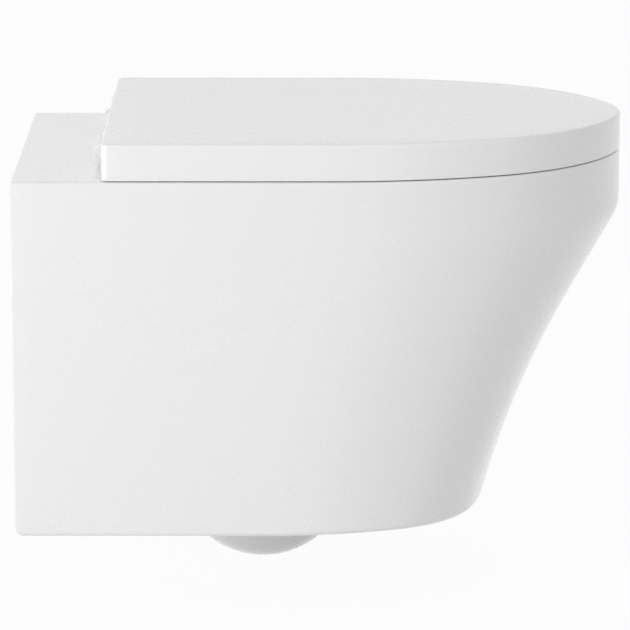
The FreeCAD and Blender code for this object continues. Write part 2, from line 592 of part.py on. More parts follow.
# ---------------------------------------------------------------- hinges
def make_fixing():
    """What stays on the ceramic at one hinge hole: gasket, base, post with its screw, sleeve and nut."""
    x = HINGE_HOLE_FROM_WALL
    y = HINGE_Y
    gasket = rod_z(BASE_RADIUS, RIM, RIM + GASKET_THICKNESS, x, y)
    gasket = gasket.cut(rod_z(SCREW_RADIUS + RUNNING_CLEARANCE, RIM - OVERRUN, BASE_TOP, x, y))
    base = rod_z(BASE_RADIUS, RIM + GASKET_THICKNESS, BASE_TOP, x, y)
    base = base.cut(rod_z(SCREW_RADIUS + RUNNING_CLEARANCE, RIM, BASE_TOP + OVERRUN, x, y))

    post_top = BASE_TOP + POST_HEIGHT
    groove_low = LATCH_Z - SOCKET_CLEARANCE
    groove_high = LATCH_Z + LATCH_THICKNESS + SOCKET_CLEARANCE
    screw_end = BASE_TOP - SCREW_LENGTH
    profile = [(0, screw_end), (SCREW_RADIUS - POST_CHAMFER / 2, screw_end),
               (SCREW_RADIUS, screw_end + POST_CHAMFER), (SCREW_RADIUS, BASE_TOP), (POST_RADIUS, BASE_TOP),
               (POST_RADIUS, groove_low), (POST_GROOVE_RADIUS, groove_low), (POST_GROOVE_RADIUS, groove_high),
               (POST_RADIUS, groove_high), (POST_RADIUS, post_top - POST_CHAMFER),
               (POST_RADIUS - POST_CHAMFER, post_top), (0, post_top), (0, screw_end)]
    section = Part.Face(Part.makePolygon([Vector(x + r, y, z) for r, z in profile]))
    post = section.revolve(Vector(x, y, 0), Vector(0, 0, 1), 2 * HALF_TURN)
    key = Part.Face(hexagon(x, y, post_top - KEY_DEPTH, KEY_ACROSS_FLATS))
    post = post.cut(key.extrude(Vector(0, 0, KEY_DEPTH + OVERRUN)))

    sleeve_low = RIM - SLEEVE_LENGTH
    sleeve_radius = HINGE_HOLE_RADIUS - RUNNING_CLEARANCE
    shape = [(SCREW_RADIUS + RUNNING_CLEARANCE, RIM), (sleeve_radius, RIM), (sleeve_radius, DECK_UNDER),
             (SLEEVE_BULGE_RADIUS, (DECK_UNDER + sleeve_low) / 2), (sleeve_radius, sleeve_low),
             (SCREW_RADIUS + RUNNING_CLEARANCE, sleeve_low), (SCREW_RADIUS + RUNNING_CLEARANCE, RIM)]
    section = Part.Face(Part.makePolygon([Vector(x + r, y, z) for r, z in shape]))
    sleeve = section.revolve(Vector(x, y, 0), Vector(0, 0, 1), 2 * HALF_TURN)
    nut = Part.Face(hexagon(x, y, sleeve_low - NUT_HEIGHT, NUT_ACROSS_FLATS)).extrude(Vector(0, 0, NUT_HEIGHT))
    nut = nut.cut(rod_z(SCREW_RADIUS + RUNNING_CLEARANCE, sleeve_low - NUT_HEIGHT - OVERRUN, sleeve_low + OVERRUN, x, y))
    return {"hinge_gasket": gasket, "hinge_base": base, "hinge_post": merged(post),
            "anchor_sleeve": merged(sleeve), "anchor_nut": nut}


def hexagon(x, y, z, across_flats):
    radius = across_flats / math.sqrt(3)
    points = [Vector(x + radius * math.cos(math.radians(60 * k)), y + radius * math.sin(math.radians(60 * k)), z)
              for k in range(7)]
    return Part.makePolygon(points)


def make_housing():
    """Barrel with the foot that drops over the post, and the slots for the latch and its springs."""
    barrel = rod_y(BARREL_RADIUS, BARREL_INNER, BARREL_OUTER, PIVOT_FROM_WALL, PIVOT)
    half = BARREL_LENGTH / 2 - SIDE_GAP
    foot = box(PIVOT_FROM_WALL, FOOT_FRONT_X, HINGE_Y - half, HINGE_Y + half, BASE_TOP, BASE_TOP + FOOT_HEIGHT)
    front_edges = [edge for edge in foot.Edges if edge.BoundBox.XMin > FOOT_FRONT_X - TINY
                   and edge.BoundBox.ZMax > BASE_TOP + FOOT_EDGE_RADIUS]
    foot = foot.makeFillet(FOOT_EDGE_RADIUS, front_edges)
    housing = barrel.fuse(foot)
    socket_top = BASE_TOP + POST_HEIGHT + SOCKET_HEADROOM
    housing = housing.cut(rod_z(POST_RADIUS + SOCKET_CLEARANCE, BASE_TOP - OVERRUN, socket_top,
                                HINGE_HOLE_FROM_WALL, HINGE_Y))
    slide = SOCKET_CLEARANCE
    latch_rear = HINGE_HOLE_FROM_WALL - POST_RADIUS - SOCKET_CLEARANCE - LATCH_THICKNESS
    housing = housing.cut(box(latch_rear - BUTTON_TRAVEL - slide, FOOT_FRONT_X + OVERRUN,
                              HINGE_Y - LATCH_HALF_WIDTH - slide, HINGE_Y + LATCH_HALF_WIDTH + slide,
                              LATCH_Z - slide, LATCH_Z + LATCH_THICKNESS + slide))
    pocket_floor = BUTTON_FRONT_X - BUTTON_DEPTH - BUTTON_TRAVEL - slide
    middle = LATCH_Z + LATCH_THICKNESS / 2
    housing = housing.cut(box(pocket_floor, FOOT_FRONT_X + OVERRUN,
                              HINGE_Y - BUTTON_HALF_WIDTH - slide, HINGE_Y + BUTTON_HALF_WIDTH + slide,
                              middle - BUTTON_HEIGHT / 2 - slide, middle + BUTTON_HEIGHT / 2 + slide))
    for way in (-1, 1):
        housing = housing.cut(rod_x(SPRING_RADIUS + SPRING_WIRE / 2, pocket_floor - SPRING_POCKET,
                                    FOOT_FRONT_X, HINGE_Y + way * SPRING_Y, middle))
    return housing


def make_button():
    """Push button with its latch plate; the slot in the plate passes over the post."""
    slide = SOCKET_CLEARANCE
    middle = LATCH_Z + LATCH_THICKNESS / 2
    latch_rear = HINGE_HOLE_FROM_WALL - POST_RADIUS - slide - LATCH_THICKNESS
    head_rear = BUTTON_FRONT_X - BUTTON_DEPTH
    head = box(head_rear, BUTTON_FRONT_X, HINGE_Y - BUTTON_HALF_WIDTH, HINGE_Y + BUTTON_HALF_WIDTH,
               middle - BUTTON_HEIGHT / 2, middle + BUTTON_HEIGHT / 2)
    front_edges = [edge for edge in head.Edges if edge.BoundBox.XMin > BUTTON_FRONT_X - TINY]
    head = head.makeFillet(BUTTON_EDGE_RADIUS, front_edges)
    plate = box(latch_rear, head_rear, HINGE_Y - LATCH_HALF_WIDTH, HINGE_Y + LATCH_HALF_WIDTH,
                LATCH_Z, LATCH_Z + LATCH_THICKNESS)
    slot_radius = POST_RADIUS + slide
    far = HINGE_HOLE_FROM_WALL + BUTTON_TRAVEL
    slot = rod_z(slot_radius, LATCH_Z - OVERRUN, LATCH_Z + LATCH_THICKNESS + OVERRUN, HINGE_HOLE_FROM_WALL, HINGE_Y)
    slot = slot.fuse(rod_z(slot_radius, LATCH_Z - OVERRUN, LATCH_Z + LATCH_THICKNESS + OVERRUN, far, HINGE_Y))
    slot = slot.fuse(box(HINGE_HOLE_FROM_WALL, far, HINGE_Y - slot_radius, HINGE_Y + slot_radius,
                         LATCH_Z - OVERRUN, LATCH_Z + LATCH_THICKNESS + OVERRUN))
    return head.fuse(plate).cut(slot)


def make_springs():
    """The two springs between the button and the bottoms of their pockets, each as a sleeve of its coil's size."""
    middle = LATCH_Z + LATCH_THICKNESS / 2
    head_rear = BUTTON_FRONT_X - BUTTON_DEPTH
    pocket_end = head_rear - BUTTON_TRAVEL - SOCKET_CLEARANCE - SPRING_POCKET
    springs = []
    for way in (-1, 1):
        y = HINGE_Y + way * SPRING_Y
        coil = rod_x(SPRING_RADIUS, pocket_end, head_rear, y, middle)
        springs.append(coil.cut(rod_x(SPRING_RADIUS - SPRING_WIRE, pocket_end - OVERRUN, head_rear + OVERRUN, y, middle)))
    return Part.makeCompound(springs)


def pivot_pieces(outward):
    """Bore, damper, rotor and stub of one hinge; outward is True where the rotor drives the lid."""
    end_wall = BARREL_LENGTH - DAMPER_LENGTH
    knuckle_reach = SIDE_GAP + KNUCKLE_WIDTH
    cap = CAP_THICKNESS if outward else 0.0
    stub_cap = 0.0 if outward else CAP_THICKNESS
    gap = RUNNING_CLEARANCE
    bore = rod_y(DAMPER_RADIUS, 0, DAMPER_LENGTH + OVERRUN, 0, 0)
    damper = rod_y(DAMPER_RADIUS - gap, gap, DAMPER_LENGTH, 0, 0)
    damper = damper.cut(rod_y(PIN_RADIUS + gap, DAMPER_LENGTH - ROTOR_DEPTH, DAMPER_LENGTH + OVERRUN, 0, 0))
    rotor_start = DAMPER_LENGTH - ROTOR_DEPTH + gap
    rotor = rod_y(PIN_RADIUS, rotor_start, DAMPER_LENGTH + SIDE_GAP / 2, 0, 0)
    tail = rod_y(PIN_RADIUS, DAMPER_LENGTH + SIDE_GAP / 2, DAMPER_LENGTH + knuckle_reach - cap, 0, 0)
    tail = tail.common(box(-2 * PIN_RADIUS, 2 * PIN_RADIUS, 0, 2 * BARREL_LENGTH, -ROTOR_FLAT, ROTOR_FLAT))
    rotor = rotor.fuse(tail)
    stub = rod_y(PIN_RADIUS, -end_wall - knuckle_reach + stub_cap, -gap, 0, 0)
    stub_hole = rod_y(PIN_RADIUS, -end_wall - OVERRUN, OVERRUN, 0, 0)
    pieces = {"bore": bore, "damper_body": damper, "damper_rotor": rotor, "hinge_stub": stub, "hole": stub_hole}
    for piece in pieces.values():
        if outward:
            piece.translate(Vector(PIVOT_FROM_WALL, BARREL_OUTER - DAMPER_LENGTH, PIVOT))
        else:
            piece.rotate(Vector(0, 0, 0), Vector(1, 0, 0), HALF_TURN)
            piece.translate(Vector(PIVOT_FROM_WALL, BARREL_INNER + DAMPER_LENGTH, PIVOT))
    return pieces


def make_hinges():
    fixing = make_fixing()
    housing = make_housing()
    button = make_button()
    springs = make_springs()
    face = BARREL_OUTER + SIDE_GAP + KNUCKLE_WIDTH
    cap = rod_y(CAP_RADIUS, face - CAP_THICKNESS, face, PIVOT_FROM_WALL, PIVOT)
    for name, outward in (("left", True), ("right", False)):
        pivot = pivot_pieces(outward)
        body = merged(housing.cut(pivot["bore"]).cut(pivot["hole"]))
        pieces = dict(fixing)
        pieces["hinge_housing"] = body
        pieces["release_button"] = merged(button)
        pieces["release_springs"] = springs
        pieces["hinge_cap"] = cap
        for part in ("damper_body", "damper_rotor", "hinge_stub"):
            pieces[part] = pivot[part]
        for part, shape in pieces.items():
            save(shape if name == "left" else mirrored(shape), part + "_" + name)


os.makedirs("parts", exist_ok=True)
make_pan()
make_bushes()
make_lid()
make_seat()
make_hinges()
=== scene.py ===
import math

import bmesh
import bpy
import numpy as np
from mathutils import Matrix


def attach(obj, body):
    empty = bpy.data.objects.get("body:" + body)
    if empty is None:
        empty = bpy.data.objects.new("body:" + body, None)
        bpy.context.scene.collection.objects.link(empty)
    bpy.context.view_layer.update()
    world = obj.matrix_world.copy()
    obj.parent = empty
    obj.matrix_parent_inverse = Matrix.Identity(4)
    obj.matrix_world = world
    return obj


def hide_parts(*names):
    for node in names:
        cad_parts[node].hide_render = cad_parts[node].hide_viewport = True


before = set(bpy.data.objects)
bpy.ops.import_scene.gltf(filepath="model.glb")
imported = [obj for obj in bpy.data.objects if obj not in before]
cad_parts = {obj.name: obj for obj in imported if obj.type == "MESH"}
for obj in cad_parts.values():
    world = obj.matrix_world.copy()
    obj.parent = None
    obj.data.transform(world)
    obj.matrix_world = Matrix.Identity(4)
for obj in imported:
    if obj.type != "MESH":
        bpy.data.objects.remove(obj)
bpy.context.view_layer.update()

# %% [markdown]
# A wall hung toilet is one casting of glazed ceramic, bolted to a frame in the wall, with a moulded seat and lid
# on two small hinges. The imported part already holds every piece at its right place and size. This lesson dresses
# it: the pan, lid and ring are worked out again as fine, smooth surfaces, and every piece gets its own finish.
#
# Shapes are computed in millimetres, in the part's own frame: the wall is the plane X = 0, the front is +X and
# the rim is 80 mm above the wall fixings. They become metres only when a mesh is made.

# %% [markdown]
# The photograph was taken from the pan's right side, from far away and a little above the rim. A long lens at
# nearly four metres gives the same flat perspective: the near and the far edge of the lid almost fall together.

# %% Camera
CAMERA_PLACE = (0.26457, -3.9737, 0.79274)
CAMERA_TILT = math.radians(77.66)
CAMERA_LENS = 254.74

camera_data = bpy.data.cameras.new("side_camera")
camera_data.lens = CAMERA_LENS
camera_data.sensor_width = 36.0
camera = bpy.data.objects.new("side_camera", camera_data)
camera.location = CAMERA_PLACE
camera.rotation_euler = (CAMERA_TILT, 0.0, 0.0)
bpy.context.scene.collection.objects.link(camera)
bpy.context.scene.camera = camera
bpy.context.scene.view_settings.view_transform = "Standard"
print("camera with a lens of", CAMERA_LENS, "mm")

# %% [markdown]
# A material is a small network of nodes. Writing it as arithmetic keeps it readable: the class below wraps a
# socket, and each operator adds the Math node that does the sum. Every other kind of node comes from one method.


# %% Shader arithmetic
class Wire:
    """An output socket in a node tree. Arithmetic on it adds Math nodes and gives a new Wire."""

    def __init__(self, socket):
        self.socket = socket
        self.tree = socket.id_data

    def node(self, kind, settings=None, sockets=None, output=0):
        return add_node(self.tree, kind, settings, sockets, output)

    def maths(self, operation, *values):
        return self.node("ShaderNodeMath", {"operation": operation}, dict(enumerate(values)))

    def __add__(self, other):
        return self.maths("ADD", self, other)

    def __sub__(self, other):
        return self.maths("SUBTRACT", self, other)

    def __rsub__(self, other):
        return self.maths("SUBTRACT", other, self)

    def __mul__(self, other):
        return self.maths("MULTIPLY", self, other)

    __radd__ = __add__
    __rmul__ = __mul__


def add_node(tree, kind, settings=None, sockets=None, output=0):
    """A node of any kind: its settings are set first, then its sockets get values or links."""
    node = tree.nodes.new(kind)
    for name, value in (settings or {}).items():
        setattr(node, name, value)
    for name, value in (sockets or {}).items():
        if isinstance(value, Wire):
            tree.links.new(value.socket, node.inputs[name])
        else:
            node.inputs[name].default_value = value
    return Wire(node.outputs[output])


def new_material(name):
    """An empty material with its output node, and the Object coordinates that its patterns read."""
    material = bpy.data.materials.new(name)
    material.use_nodes = True
    material.node_tree.nodes.clear()
    place = add_node(material.node_tree, "ShaderNodeTexCoord", output=3)
    return material, place


def finish_material(material, shader):
    """The material, with its shader joined to its output."""
    output = material.node_tree.nodes.new("ShaderNodeOutputMaterial")
    material.node_tree.links.new(shader.socket, output.inputs["Surface"])
    return material


def noise(place, scale, detail=2.0, roughness=0.5):
    """Soft random values about 0.5, with features of 1 / scale metres."""
    return place.node("ShaderNodeTexNoise", None,
                      {"Vector": place, "Scale": scale, "Detail": detail, "Roughness": roughness})


def tint(place, amount, first, second):
    """A colour between two, by an amount from 0 to 1."""
    return place.node("ShaderNodeMix", {"data_type": "RGBA"},
                      {"Factor": amount, "A": (*first, 1.0), "B": (*second, 1.0)}, output=2)


def bump(place, height, distance, strength):
    """A normal that leans with the slope of a height, which counts for so many metres."""
    return place.node("ShaderNodeBump", None, {"Height": height, "Distance": distance, "Strength": strength})


# %% [markdown]
# Sanitary glaze is a white, opaque body under about half a millimetre of clear glass. The glass is what shines, so
# the shader has a fairly rough white base and a smooth coat over it. Real glaze pools and thins a little as it
# melts, so the surface has a very slow waviness. The white varies by about one part in a hundred, nearly all of it in
# specks about a millimetre wide and little of it in slow drifts.

# %% Glaze
def glaze():
    """White under a clear coat: fine specks and a slow drift of colour, and a slow wave in the normal."""
    material, place = new_material("sanitary_glaze")
    drift = noise(place, 5.0, 1.0)
    speckle = noise(place, 700.0, 1.0)
    waviness = noise(place, 12.0, 0.0)
    colour = tint(place, drift * 0.2 + speckle * 0.8, (0.87, 0.873, 0.868), (0.892, 0.894, 0.89))
    shader = place.node("ShaderNodeBsdfPrincipled", None, {
        "Base Color": colour,
        "Roughness": 0.25 + speckle * 0.04,
        "IOR": 1.5,
        "Coat Weight": 0.75,
        "Coat Roughness": 0.04,
        "Normal": bump(place, waviness, 0.0003, 0.05)})
    return finish_material(material, shader)


sanitary_glaze = glaze()
print("made", sanitary_glaze.name)

# %% [markdown]
# The seat and lid are pressed from thermoset resin in a polished mould: hard, white and glossy, a touch cooler
# than the glaze. Hinges, buttons and dampers are injection moulded, with a finer, slightly duller skin.

# %% Moulded plastics and rubber
def moulded(name, dark, light, roughness, grain_scale, grain_strength, coat=0.0):
    """A moulded finish: slow drift of colour, fine grain in the skin and a roughness that follows the grain."""
    material, place = new_material(name)
    grain = noise(place, grain_scale, 2.0)
    shader = place.node("ShaderNodeBsdfPrincipled", None, {
        "Base Color": tint(place, noise(place, 9.0), dark, light),
        "Roughness": roughness + (grain - 0.5) * (roughness * 0.3),
        "Coat Weight": coat,
        "Coat Roughness": 0.16,
        "Normal": bump(place, grain, 0.00005, grain_strength)})
    return finish_material(material, shader)


pressed_resin = moulded("pressed_resin", (0.885, 0.888, 0.887), (0.905, 0.908, 0.908), 0.28, 700.0, 0.05, coat=0.6)
hinge_plastic = moulded("hinge_plastic", (0.84, 0.842, 0.845), (0.87, 0.872, 0.875), 0.36, 2200.0, 0.25)
acetal = moulded("grey_acetal", (0.5, 0.51, 0.52), (0.56, 0.57, 0.58), 0.45, 2600.0, 0.3)
nylon = moulded("natural_nylon", (0.68, 0.67, 0.63), (0.74, 0.73, 0.69), 0.5, 1800.0, 0.3)
soft_rubber = moulded("soft_rubber", (0.6, 0.6, 0.59), (0.66, 0.66, 0.65), 0.62, 3000.0, 0.5)
print("made", [item.name for item in (pressed_resin, hinge_plastic, acetal, nylon, soft_rubber)])

# %% [markdown]
# Turned stainless steel shows fine rings round its axis. Noise that is squeezed along Z gives such rings on the
# upright posts and nuts, and the same streaks pass for drawn marks on the level pins.

# %% Turned steel
def turned_steel():
    """Metal whose colour, roughness and normal all follow the same fine rings."""
    material, place = new_material("turned_steel")
    stretched = place.node("ShaderNodeMapping", None, {"Vector": place, "Scale": (60.0, 60.0, 4000.0)})
    rings = noise(stretched, 1.0, 2.0)
    shader = place.node("ShaderNodeBsdfPrincipled", None, {
        "Base Color": tint(place, rings, (0.52, 0.52, 0.53), (0.66, 0.66, 0.66)),
        "Metallic": 1.0,
        "Roughness": 0.24 + rings * 0.14,
        "Normal": bump(place, rings, 0.00003, 0.4)})
    return finish_material(material, shader)


steel = turned_steel()
print("made", steel.name)

# %% [markdown]
# Every shape here is a stack of rings. A ring is one closed row of points, all rings of a piece have as many
# points, and quads join each ring to the next. The same few lines then make the pan, lid and seat: only the
# formula of the ring changes. A ring that has shrunk to a small loop is closed by one face.

# %% From rings to a mesh
SHARP_ANGLE = math.radians(38)


def ring_mesh(name, rings, joined=False):
    """Mesh of a stack of rings, an array (rings, points, 3) in mm: quads run round each ring and up the stack.

    With joined, the last ring is tied to the first. Otherwise the two end rings are each closed by one face.
    """
    rings = np.asarray(rings, float)
    levels, around = rings.shape[:2]
    index = np.arange(levels * around).reshape(levels, around)
    lower = index if joined else index[:-1]
    upper = np.roll(index, -1, axis=0) if joined else index[1:]
    quads = np.stack([lower, np.roll(lower, -1, axis=1), np.roll(upper, -1, axis=1), upper], axis=-1)
    faces = quads.reshape(-1, 4).tolist()
    if not joined:
        faces += [index[0][::-1].tolist(), index[-1].tolist()]
    mesh = bpy.data.meshes.new(name)
    mesh.from_pydata((rings.reshape(-1, 3) / 1000).tolist(), [], faces)
    return finished_mesh(name, mesh)


def finished_mesh(name, mesh):
    """An object at the origin whose faces point outwards and whose shading breaks at sharp edges."""
    piece = bpy.data.objects.new(name, mesh)
    bpy.context.scene.collection.objects.link(piece)
    tidy_faces(piece)
    return piece


def tidy_faces(piece):
    """Joins doubled points, turns the faces outwards and marks the edges that turn by more than SHARP_ANGLE."""
    work = bmesh.new()
    work.from_mesh(piece.data)
    bmesh.ops.remove_doubles(work, verts=work.verts, dist=1e-6)
    bmesh.ops.recalc_face_normals(work, faces=work.faces)
    work.to_mesh(piece.data)
    work.free()
    piece.data.shade_smooth()
    piece.data.set_sharp_from_angle(angle=SHARP_ANGLE)
    piece.data.update()


def run(first, last, count):
    """Evenly spaced values with both ends."""
    return np.linspace(first, last, count + 1)


# %% [markdown]
# Seen from above, the pan, lid and ring share one outline: straight from the wall, then a gentle side arc, a
# tighter shoulder arc and a nose arc. Each side has turned by 22.5 degrees where the side arc ends and by 73.8
# where the shoulder ends. Arcs that share their end angles always meet smoothly, so an outline that is moved in,
# or one that lies between two others, keeps its smooth joints.

# %% The plan outline
SIDE_TURN = math.radians(22.5)
SHOULDER_TURN = math.radians(73.8)
RIM_SIDE_RADIUS = 380.0
RIM_SHOULDER_RADIUS = 190.0
REACH = 540.0
HALF_WIDTH = 180.0
RIM = 80.0
REAR_POINTS = 22
CORNER_POINTS = 5
STRAIGHT_POINTS = 14
SIDE_POINTS = 16
SHOULDER_POINTS = 30
NOSE_POINTS = 12


def outline(level, inset=0.0, rear=0.0, corner=1.5, reach=REACH, half_width=HALF_WIDTH, side=RIM_SIDE_RADIUS,
            shoulder=RIM_SHOULDER_RADIUS):
    """One ring at a level: from the middle of the rear edge round the +Y side to the nose, and back.

    The nose radius is what is left of the half width after the side and shoulder arcs, and the straight is what is
    left of the reach. An inset shortens every radius alike. The rear corners are quarter arcs.
    """
    nose = (half_width - side * (1 - math.cos(SIDE_TURN))
            - shoulder * (math.cos(SIDE_TURN) - math.cos(SHOULDER_TURN))) / math.cos(SHOULDER_TURN)
    straight = (reach - side * math.sin(SIDE_TURN) - shoulder * (math.sin(SHOULDER_TURN) - math.sin(SIDE_TURN))
                - nose * (1 - math.sin(SHOULDER_TURN)))
    centre = np.array([straight, half_width - side])
    width = half_width - inset
    back = np.stack([np.full(REAR_POINTS, rear), run(0, width - corner, REAR_POINTS)[:-1]], axis=1)
    turn = run(0, math.pi / 2, CORNER_POINTS)
    bend = np.stack([rear + corner * (1 - np.cos(turn)), width - corner * (1 - np.sin(turn))], axis=1)
    level_run = np.stack([run(rear + corner, straight, STRAIGHT_POINTS), np.full(STRAIGHT_POINTS + 1, width)], axis=1)
    pieces = [back, bend, level_run[1:]]
    start = 0.0
    radius = side
    for end, next_radius, count in ((SIDE_TURN, shoulder, SIDE_POINTS), (SHOULDER_TURN, nose, SHOULDER_POINTS),
                                    (math.pi / 2, nose, NOSE_POINTS)):
        turn = run(start, end, count)[1:]
        pieces.append(centre + (radius - inset) * np.stack([np.sin(turn), np.cos(turn)], axis=1))
        centre = centre + (radius - next_radius) * np.array([math.sin(end), math.cos(end)])
        start = end
        radius = next_radius
    half = np.concatenate(pieces)
    ring = np.concatenate([half, half[-2:0:-1] * (1, -1)])
    return np.column_stack([ring, np.full(len(ring), level)])


print("points in a ring", len(outline(RIM)))

# %% [markdown]
# The front of the pan drops upright from the rim, turns at a soft crease into a straight slope, and curls down
# towards the underside. How far the front has drawn back also tells how much of the round underside's outline
# has taken over from the rim's.

# %% The front profile
CREASE_DEPTH = 52.0
CREASE_RADIUS = 30.0
SLOPE = math.radians(30.3)
KNEE_DEPTH = 124.0
CURL_RADIUS = 784.0
PAN_HEIGHT = 318.0
FOOT_TUCK = 2.0
FOOT_SIDE_RADIUS = 300.0
FOOT_SHOULDER_RADIUS = 111.5
BLEND_START = CREASE_DEPTH - CREASE_RADIUS * math.tan(SLOPE / 2)
BLEND_END = CREASE_DEPTH + CREASE_RADIUS * math.tan(SLOPE / 2) * math.cos(SLOPE)


def front_setback(depth):
    """How far the front has drawn back at a depth: zero, then an arc, a straight slope and a long arc."""
    if depth <= BLEND_START:
        return 0.0
    if depth <= BLEND_END:
        return CREASE_RADIUS * (1 - math.cos(math.asin((depth - BLEND_START) / CREASE_RADIUS)))
    setback = (min(depth, KNEE_DEPTH) - CREASE_DEPTH) * math.tan(SLOPE)
    if depth > KNEE_DEPTH:
        lean = math.asin(math.sin(SLOPE) - (depth - KNEE_DEPTH) / CURL_RADIUS)
        setback += CURL_RADIUS * (math.cos(lean) - math.cos(SLOPE))
    return setback


def skirt_ring(depth, inset=0.0, rear=0.0, corner=1.5):
    """The outline at a depth under the rim, part way from the rim's outline to the underside's."""
    share = front_setback(depth) / front_setback(PAN_HEIGHT)
    return outline(RIM - depth, inset, rear, corner, REACH - front_setback(depth), HALF_WIDTH - FOOT_TUCK * share,
                   RIM_SIDE_RADIUS + (FOOT_SIDE_RADIUS - RIM_SIDE_RADIUS) * share,
                   RIM_SHOULDER_RADIUS + (FOOT_SHOULDER_RADIUS - RIM_SHOULDER_RADIUS) * share)


print("the underside is set back", round(front_setback(PAN_HEIGHT), 1), "mm")

# %% [markdown]
# The bowl is an oval of four arcs that shrinks and moves back as it goes down, slowly at first, as a cosine. Its
# rings have to join the outline's rings across the deck, so each point of an oval lies in the same direction from
# the bowl's middle as its partner on the outline. The directions are found once and used for every ring.

# %% The bowl's rings
BOWL_CENTRE = 335.0
BOWL_HALF_LENGTH = 170.0
BOWL_HALF_WIDTH = 145.0
SUMP_CENTRE = 289.0
SUMP_HALF_LENGTH = 52.0
SUMP_HALF_WIDTH = 43.0
BOWL_DEPTH = 260.0
BOWL_WALL = 10.0
BOWL_FULLNESS = 1.15
OVAL_TURN = math.radians(50)
rim_ring = outline(RIM)
DIRECTIONS = np.unwrap(np.arctan2(rim_ring[:, 1], rim_ring[:, 0] - BOWL_CENTRE))


def oval(level, centre, half_length, half_width):
    """Ring on an oval of side and end arcs that meet where it has turned by OVAL_TURN, in the given directions."""
    sine, cosine = math.sin(OVAL_TURN), math.cos(OVAL_TURN)
    scale = sine + cosine - 1
    side = (half_length * cosine - half_width * (1 - sine)) / scale
    end = (half_width * sine - half_length * (1 - cosine)) / scale
    turn = run(0, math.pi / 2, 400)
    on_side = turn < OVAL_TURN
    x = np.where(on_side, side * np.sin(turn), half_length - end + end * np.sin(turn))
    y = np.where(on_side, half_width - side + side * np.cos(turn), end * np.cos(turn))
    angle = np.arctan2(y, x)[::-1]
    size = np.hypot(x, y)[::-1]
    folded = np.abs(np.angle(np.exp(1j * DIRECTIONS)))
    folded = np.minimum(folded, math.pi - folded)
    radius = np.interp(folded, angle, size)
    return np.stack([centre + radius * np.cos(DIRECTIONS), radius * np.sin(DIRECTIONS),
                     np.full(len(DIRECTIONS), level)], axis=1)


def bowl_ring(share, wall=0.0, grown=0.0):
    """The bowl at a share of its depth: a cosine of the share leads from the mouth's size to the sump's."""
    full = math.cos(math.pi / 2 * share ** BOWL_FULLNESS)
    return oval(RIM - (BOWL_DEPTH + wall) * share, SUMP_CENTRE + (BOWL_CENTRE - SUMP_CENTRE) * full,
                SUMP_HALF_LENGTH + (BOWL_HALF_LENGTH - SUMP_HALF_LENGTH) * full + wall + grown,
                SUMP_HALF_WIDTH + (BOWL_HALF_WIDTH - SUMP_HALF_WIDTH) * full + wall + grown)


print("bowl mouth", np.ptp(bowl_ring(0.0), axis=0).round(1))

# %% [markdown]
# Under the bowl the waste runs through an S: forward and down, round a tight lower bend, up behind it and over a
# crown to the spigot in the back. One path serves both faces of the pipe, with rings of 41 mm radius inside and
# 51 mm outside. The lower bend is so tight that its two legs close up on each other, so no ring may cross the
# plane that lies half way between the legs.

# %% The trapway's rings
TRAP_BORE = 41.0
TRAP_OUTSIDE = 51.0
BEND_MIDDLE = np.array([217.0, -221.4])
BEND_RADIUS = 29.0
FRONT_LEAN = math.radians(35)
REAR_LEAN = math.radians(30)
FRONT_LEG = 36.0
OUTLET_LEVEL = -100.0
CROWN_RADIUS = 60.0
SPIGOT_END = 6.0


def trap_path():
    """Points and headings, in the plane Y = 0, from the sump down, round, up and out to the spigot's end."""
    points, headings = [], []

    def straight_leg(start, end, count):
        for share in run(0, 1, count):
            points.append(start + (end - start) * share)
            headings.append((end - start) / np.linalg.norm(end - start))

    def bend(middle, radius, start, end, count, way):
        for angle in run(start, end, count)[1:-1]:
            points.append(middle + radius * np.array([math.cos(angle), math.sin(angle)]))
            headings.append(way * np.array([-math.sin(angle), math.cos(angle)]))

    front_foot = BEND_MIDDLE + BEND_RADIUS * np.array([math.cos(FRONT_LEAN), -math.sin(FRONT_LEAN)])
    rear_foot = BEND_MIDDLE + BEND_RADIUS * np.array([-math.cos(REAR_LEAN), -math.sin(REAR_LEAN)])
    front_top = front_foot + FRONT_LEG * np.array([math.sin(FRONT_LEAN), math.cos(FRONT_LEAN)])
    corner = rear_foot + (OUTLET_LEVEL - rear_foot[1]) / math.cos(REAR_LEAN) * np.array(
        [-math.sin(REAR_LEAN), math.cos(REAR_LEAN)])
    tangent = CROWN_RADIUS * math.tan((math.pi / 2 - REAR_LEAN) / 2)
    crown_start = corner - tangent * np.array([-math.sin(REAR_LEAN), math.cos(REAR_LEAN)])
    crown_end = corner - np.array([tangent, 0.0])
    crown_middle = crown_end - np.array([0.0, CROWN_RADIUS])
    straight_leg(front_top, front_foot, 4)
    bend(BEND_MIDDLE, BEND_RADIUS, -FRONT_LEAN, REAR_LEAN - math.pi, 18, -1)
    straight_leg(rear_foot, crown_start, 6)
    bend(crown_middle, CROWN_RADIUS, REAR_LEAN, math.pi / 2, 10, 1)
    straight_leg(crown_end, np.array([SPIGOT_END, OUTLET_LEVEL]), 6)
    return np.array(points), np.array(headings)


